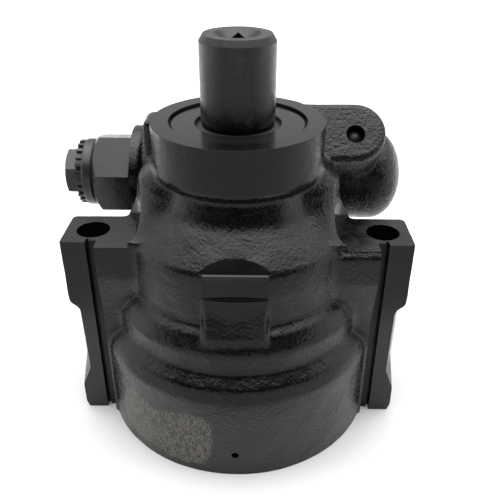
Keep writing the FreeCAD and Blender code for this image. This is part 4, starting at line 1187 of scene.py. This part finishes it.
INNER_GROUPS = (
    InnerGroup("rotating group", (
        (ShaftPaint(), ("drive_shaft",)),
        (BareMetal("rotor_steel", (0.56, 0.55, 0.54), 0.28, 0.3, (8, 8, 1)),
         ("pump_rotor", *(f"pump_vane_{i + 1}" for i in range(VANE_COUNT)))),
        (BareMetal("clip_steel", (0.30, 0.30, 0.31), 0.35), ("rotor_clip",)),
    )),
    InnerGroup("shaft seal", (
        (MachinedPaint("seal_case_paint", (0.010, 0.010, 0.0104), 0.16, 0.2, 0.38), ("shaft_seal_case",)),
        (SealRubber(), ("shaft_seal_lip",)),
        (BareMetal("garter_steel", (0.5, 0.5, 0.5), 0.3), ("seal_garter_spring",)),
        (BareMetal("bushing_bronze", (0.48, 0.30, 0.14), 0.35), ("shaft_bushing",)),
    )),
    InnerGroup("cartridge", (
        (BareMetal("ground_iron", (0.34, 0.34, 0.35), 0.34, 0.5),
         ("thrust_plate", "cam_ring", "pressure_plate")),
        (BareMetal("cover_steel", (0.46, 0.46, 0.47), 0.30, 0.35), ("dowel_pins", "end_cover")),
        (SealRubber(), ("pressure_plate_o_ring", "end_cover_o_ring")),
        (BareMetal("spring_steel", (0.30, 0.30, 0.31), 0.32), ("pressure_spring", "retaining_ring")),
    )),
    InnerGroup("flow valve", (
        (BareMetal("spool_steel", (0.52, 0.52, 0.53), 0.22, 0.3, (1, 6, 6)),
         ("flow_spool", "relief_seat", "relief_ball", "relief_guide")),
        (BareMetal("ball_steel", (0.055, 0.055, 0.056), 0.52), ("passage_ball",)),
        (BareMetal("coil_steel", (0.32, 0.32, 0.33), 0.32), ("flow_spring", "relief_spring")),
    )),
)


@dataclass
class OutletPort:
    """Outlet fitting, its ring and the plug, set deeper into the boss than in CAD.

    Attributes:
        drawn_from: places along X.
        drawn_by: how far the pieces move to the right at those places.
    """

    drawn_from: tuple[float, ...] = (-60.0, -49.3, -47.1, -36.0, -24.0)
    drawn_by: tuple[float, ...] = (1.4, 1.4, 2.8, 2.8, 0.0)

    def build(self) -> int:
        """Makes the three pieces.

        Returns:
            How many nodes they replace.
        """
        fitting_paint = MachinedPaint("fitting_paint", (0.0035, 0.0035, 0.0036), 0.26, 0.22, 0.5)
        pieces = (
            ("outlet_fitting", "housing", "fitting", fitting_paint),
            ("fitting_o_ring", "housing", "rubber", SealRubber()),
            ("port_plug", "plug", "plug", PlugPaint()),
        )
        for node, body, slot, finish in pieces:
            self.drawn_in(node, body, slot, finish.material())
        return len(pieces)

    def drawn_in(self, node: str, body: str, slot: str, material: Material) -> None:
        """Piece like a node but set deeper into the boss, as in the photograph.

        Args:
            node: the node that the piece stands for.
            body: the body that it rides on.
            slot: not used.
            material: what it is made of.
        """
        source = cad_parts[node]
        mesh = source.data.copy()
        mesh.transform(source.matrix_world)
        points = points_of(mesh)
        points[:, 0] += np.interp(points[:, 0] / MM, self.drawn_from, self.drawn_by) * MM
        mesh.vertices.foreach_set("co", points.ravel())
        mesh.materials.clear()
        mesh.materials.append(material)
        piece = new_object(mesh, f"{node}_set_in")
        smooth_by_angle(piece)
        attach(piece, body)
        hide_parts(node)


@dataclass
class Studio:
    """Camera, floor and light.

    Attributes:
        eye: the camera's place in millimetres.
        pitch: how far it looks down, in degrees.
        yaw: how far it looks to the left, in degrees.
        roll: its turn about its own axis, in degrees.
        focal_px: focal length in pixels of the frame, which is frame_px wide.
        sensor: the camera's sensor.
        low_light: the tent's brightness near the floor.
        overhead: its brightness overhead, past the directions' heights in overhead_z.
        side_light: what is added at the sides, past the directions' widths in side_x.
        flag_y: where the black card stands, flag_half_width to each side and flag_heights high.
        flag_wing: (x, y) of the far edge of the card's wings.
        apron_x: the grey card's inner edge in front and at the back, and its outer edge; the card is
            painted shade on the floor, which the paint reflects.
        apron_y: its far, inner and back edges.
        apron_grey: how much light it throws back.
    """

    eye: tuple[float, float, float] = (4.752, -154.425, 50.688)
    pitch: float = 30.002
    yaw: float = -0.564
    roll: float = 0.331
    focal_px: float = 623.331
    frame_px: float = 500.0
    sensor: float = 36.0
    floor_z: float = -85.6
    floor_size: float = 3000.0
    low_light: float = 0.65
    overhead: float = 2.8
    overhead_z: Point2 = (0.52, 0.88)
    side_light: float = 0.5
    side_x: Point2 = (0.45, 0.8)
    flag_y: float = -330.0
    flag_half_width: float = 260.0
    flag_heights: tuple[float, float] = (-20.0, 410.0)
    flag_wing: Point2 = (400.0, -170.0)
    flag_grey: float = 0.01
    apron_x: tuple[float, float, float] = (66.0, 135.0, 400.0)
    apron_y: tuple[float, float, float] = (-420.0, -62.0, 120.0)
    apron_grey: float = 0.44
    box_place: tuple[float, float, float] = (0.0, 120.0, 700.0)
    box_size: float = 600.0
    box_power: float = 1.5

    def build(self) -> None:
        """Sets up the whole studio."""
        self.camera()
        self.floor()
        self.tent()
        self.flag()
        self.apron()
        self.soft_box()
        view = bpy.context.scene.view_settings
        view.view_transform = "Standard"
        view.look = "None"

    def camera(self) -> None:
        """Camera at the photograph's place."""
        pitch, yaw, roll = (math.radians(a) for a in (self.pitch, self.yaw, self.roll))
        ahead = Vector((math.sin(yaw) * math.cos(pitch), math.cos(yaw) * math.cos(pitch), -math.sin(pitch)))
        right = Vector((math.cos(yaw), -math.sin(yaw), 0))
        up = right.cross(ahead)
        turned_right = right * math.cos(roll) + up * math.sin(roll)
        turned_up = up * math.cos(roll) - right * math.sin(roll)
        data = bpy.data.cameras.new("camera")
        data.sensor_width = self.sensor
        data.lens = self.focal_px / self.frame_px * self.sensor
        data.clip_start = 0.01
        data.clip_end = 20.0
        camera = new_object(data, "camera")
        turn = Matrix((turned_right, turned_up, -ahead)).transposed().to_4x4()
        camera.matrix_world = Matrix.Translation(Vector(self.eye) * MM) @ turn
        bpy.context.scene.camera = camera

    def floor(self) -> None:
        """Plain pale floor."""
        half = self.floor_size / 2 * MM
        mesh = bpy.data.meshes.new("floor")
        z = self.floor_z * MM
        corners = [(-half, -half, z), (half, -half, z), (half, half, z), (-half, half, z)]
        mesh.from_pydata(corners, [], [(0, 1, 2, 3)])
        made = MaterialMaker("floor_card", (0.86, 0.86, 0.86), 0.9)
        mesh.materials.append(made.finish())
        new_object(mesh, "floor")

    def tent(self) -> None:
        """White tent all round, brighter overhead and at both sides."""
        world = bpy.data.worlds.new("tent")
        world.use_nodes = True
        bpy.context.scene.world = world
        tree = world.node_tree
        split = tree.nodes.new("ShaderNodeSeparateXYZ")
        tree.links.new(tree.nodes.new("ShaderNodeTexCoord").outputs["Generated"], split.inputs[0])
        rise = smooth_ramp(tree, split.outputs["Z"], *self.overhead_z, self.low_light, self.overhead)
        size = tree.nodes.new("ShaderNodeMath")
        size.operation = "ABSOLUTE"
        tree.links.new(split.outputs["X"], size.inputs[0])
        side = smooth_ramp(tree, size.outputs[0], *self.side_x, 0.0, self.side_light)
        total = tree.nodes.new("ShaderNodeMath")
        tree.links.new(rise, total.inputs[0])
        tree.links.new(side, total.inputs[1])
        background = tree.nodes["Background"]
        background.inputs["Color"].default_value = (1, 1, 1, 1)
        tree.links.new(total.outputs[0], background.inputs["Strength"])

    def flag(self) -> None:
        """Black card behind the camera, which the paint reflects."""
        half, (low, high), y = self.flag_half_width, self.flag_heights, self.flag_y
        face = [(-half, y, low), (half, y, low), (half, y, high), (-half, y, high)]
        self.card("flag", face, self.flag_grey)
        out, back = self.flag_wing
        for i, side in enumerate((-1, 1)):
            near, far = side * half, side * out
            wing = [(near, y, low), (far, back, low), (far, back, high), (near, y, high)]
            self.card(f"flag_wing_{i + 1}", wing, self.flag_grey)

    def apron(self) -> None:
        """Grey card on the floor round the picture's frame, seen from other sides too: painted shade on the
        floor, which darkens what the paint reflects.
        """
        z = self.floor_z + 0.3
        far, front, back = self.apron_y
        near, wide, out = self.apron_x
        # painted shade: a darker grey card on the floor in front of the pump and at its sides, for the
        # walls to reflect
        quads = [[(-out, far, z), (out, far, z), (out, front, z), (-out, front, z)]]
        for s in (1, -1):
            inner, outer = (s * near, front, z), (s * out, front, z)
            quads.append([inner, outer, (s * out, back, z), (s * wide, back, z)])
        for i, corners in enumerate(quads):
            self.card(f"apron_{i + 1}", corners, self.apron_grey).visible_camera = True

    def card(self, name: str, corners: Sequence[Corner], grey: float) -> Object:
        """Dull card that the camera doesn't see, only the paint.

        Args:
            name: the card's name.
            corners: its corners in millimetres.
            grey: how much light it throws back.

        Returns:
            The card.
        """
        mesh = bpy.data.meshes.new(name)
        mesh.from_pydata([tuple(c * MM for c in corner) for corner in corners], [], [(0, 1, 2, 3)])
        made = MaterialMaker(f"{name}_card", (grey, grey, grey), 1.0)
        made.shader.inputs["Specular IOR Level"].default_value = 0.0
        mesh.materials.append(made.finish())
        card = new_object(mesh, name)
        card.visible_camera = False
        return card

    def soft_box(self) -> None:
        """Large soft light overhead."""
        data = bpy.data.lights.new("soft_box", "AREA")
        data.size = self.box_size * MM
        data.energy = self.box_power
        light = new_object(data, "soft_box")
        light.location = Vector(self.box_place) * MM
        aim = Vector((0, 0, -40)) * MM - light.location
        light.rotation_euler = aim.to_track_quat("-Z", "Y").to_euler()


def main() -> None:
    """Builds every piece, then the studio."""
    logging.basicConfig(level=logging.INFO, format="%(name)s: %(message)s")
    housing = PumpHousing().build()
    LOG.info("housing: %d faces", len(housing.data.polygons))
    for group in INNER_GROUPS:
        LOG.info("%s: %d nodes", group.name, group.build())
    LOG.info("outlet port: %d nodes", OutletPort().build())
    Studio().build()


if __name__ == "__main__":
    main()
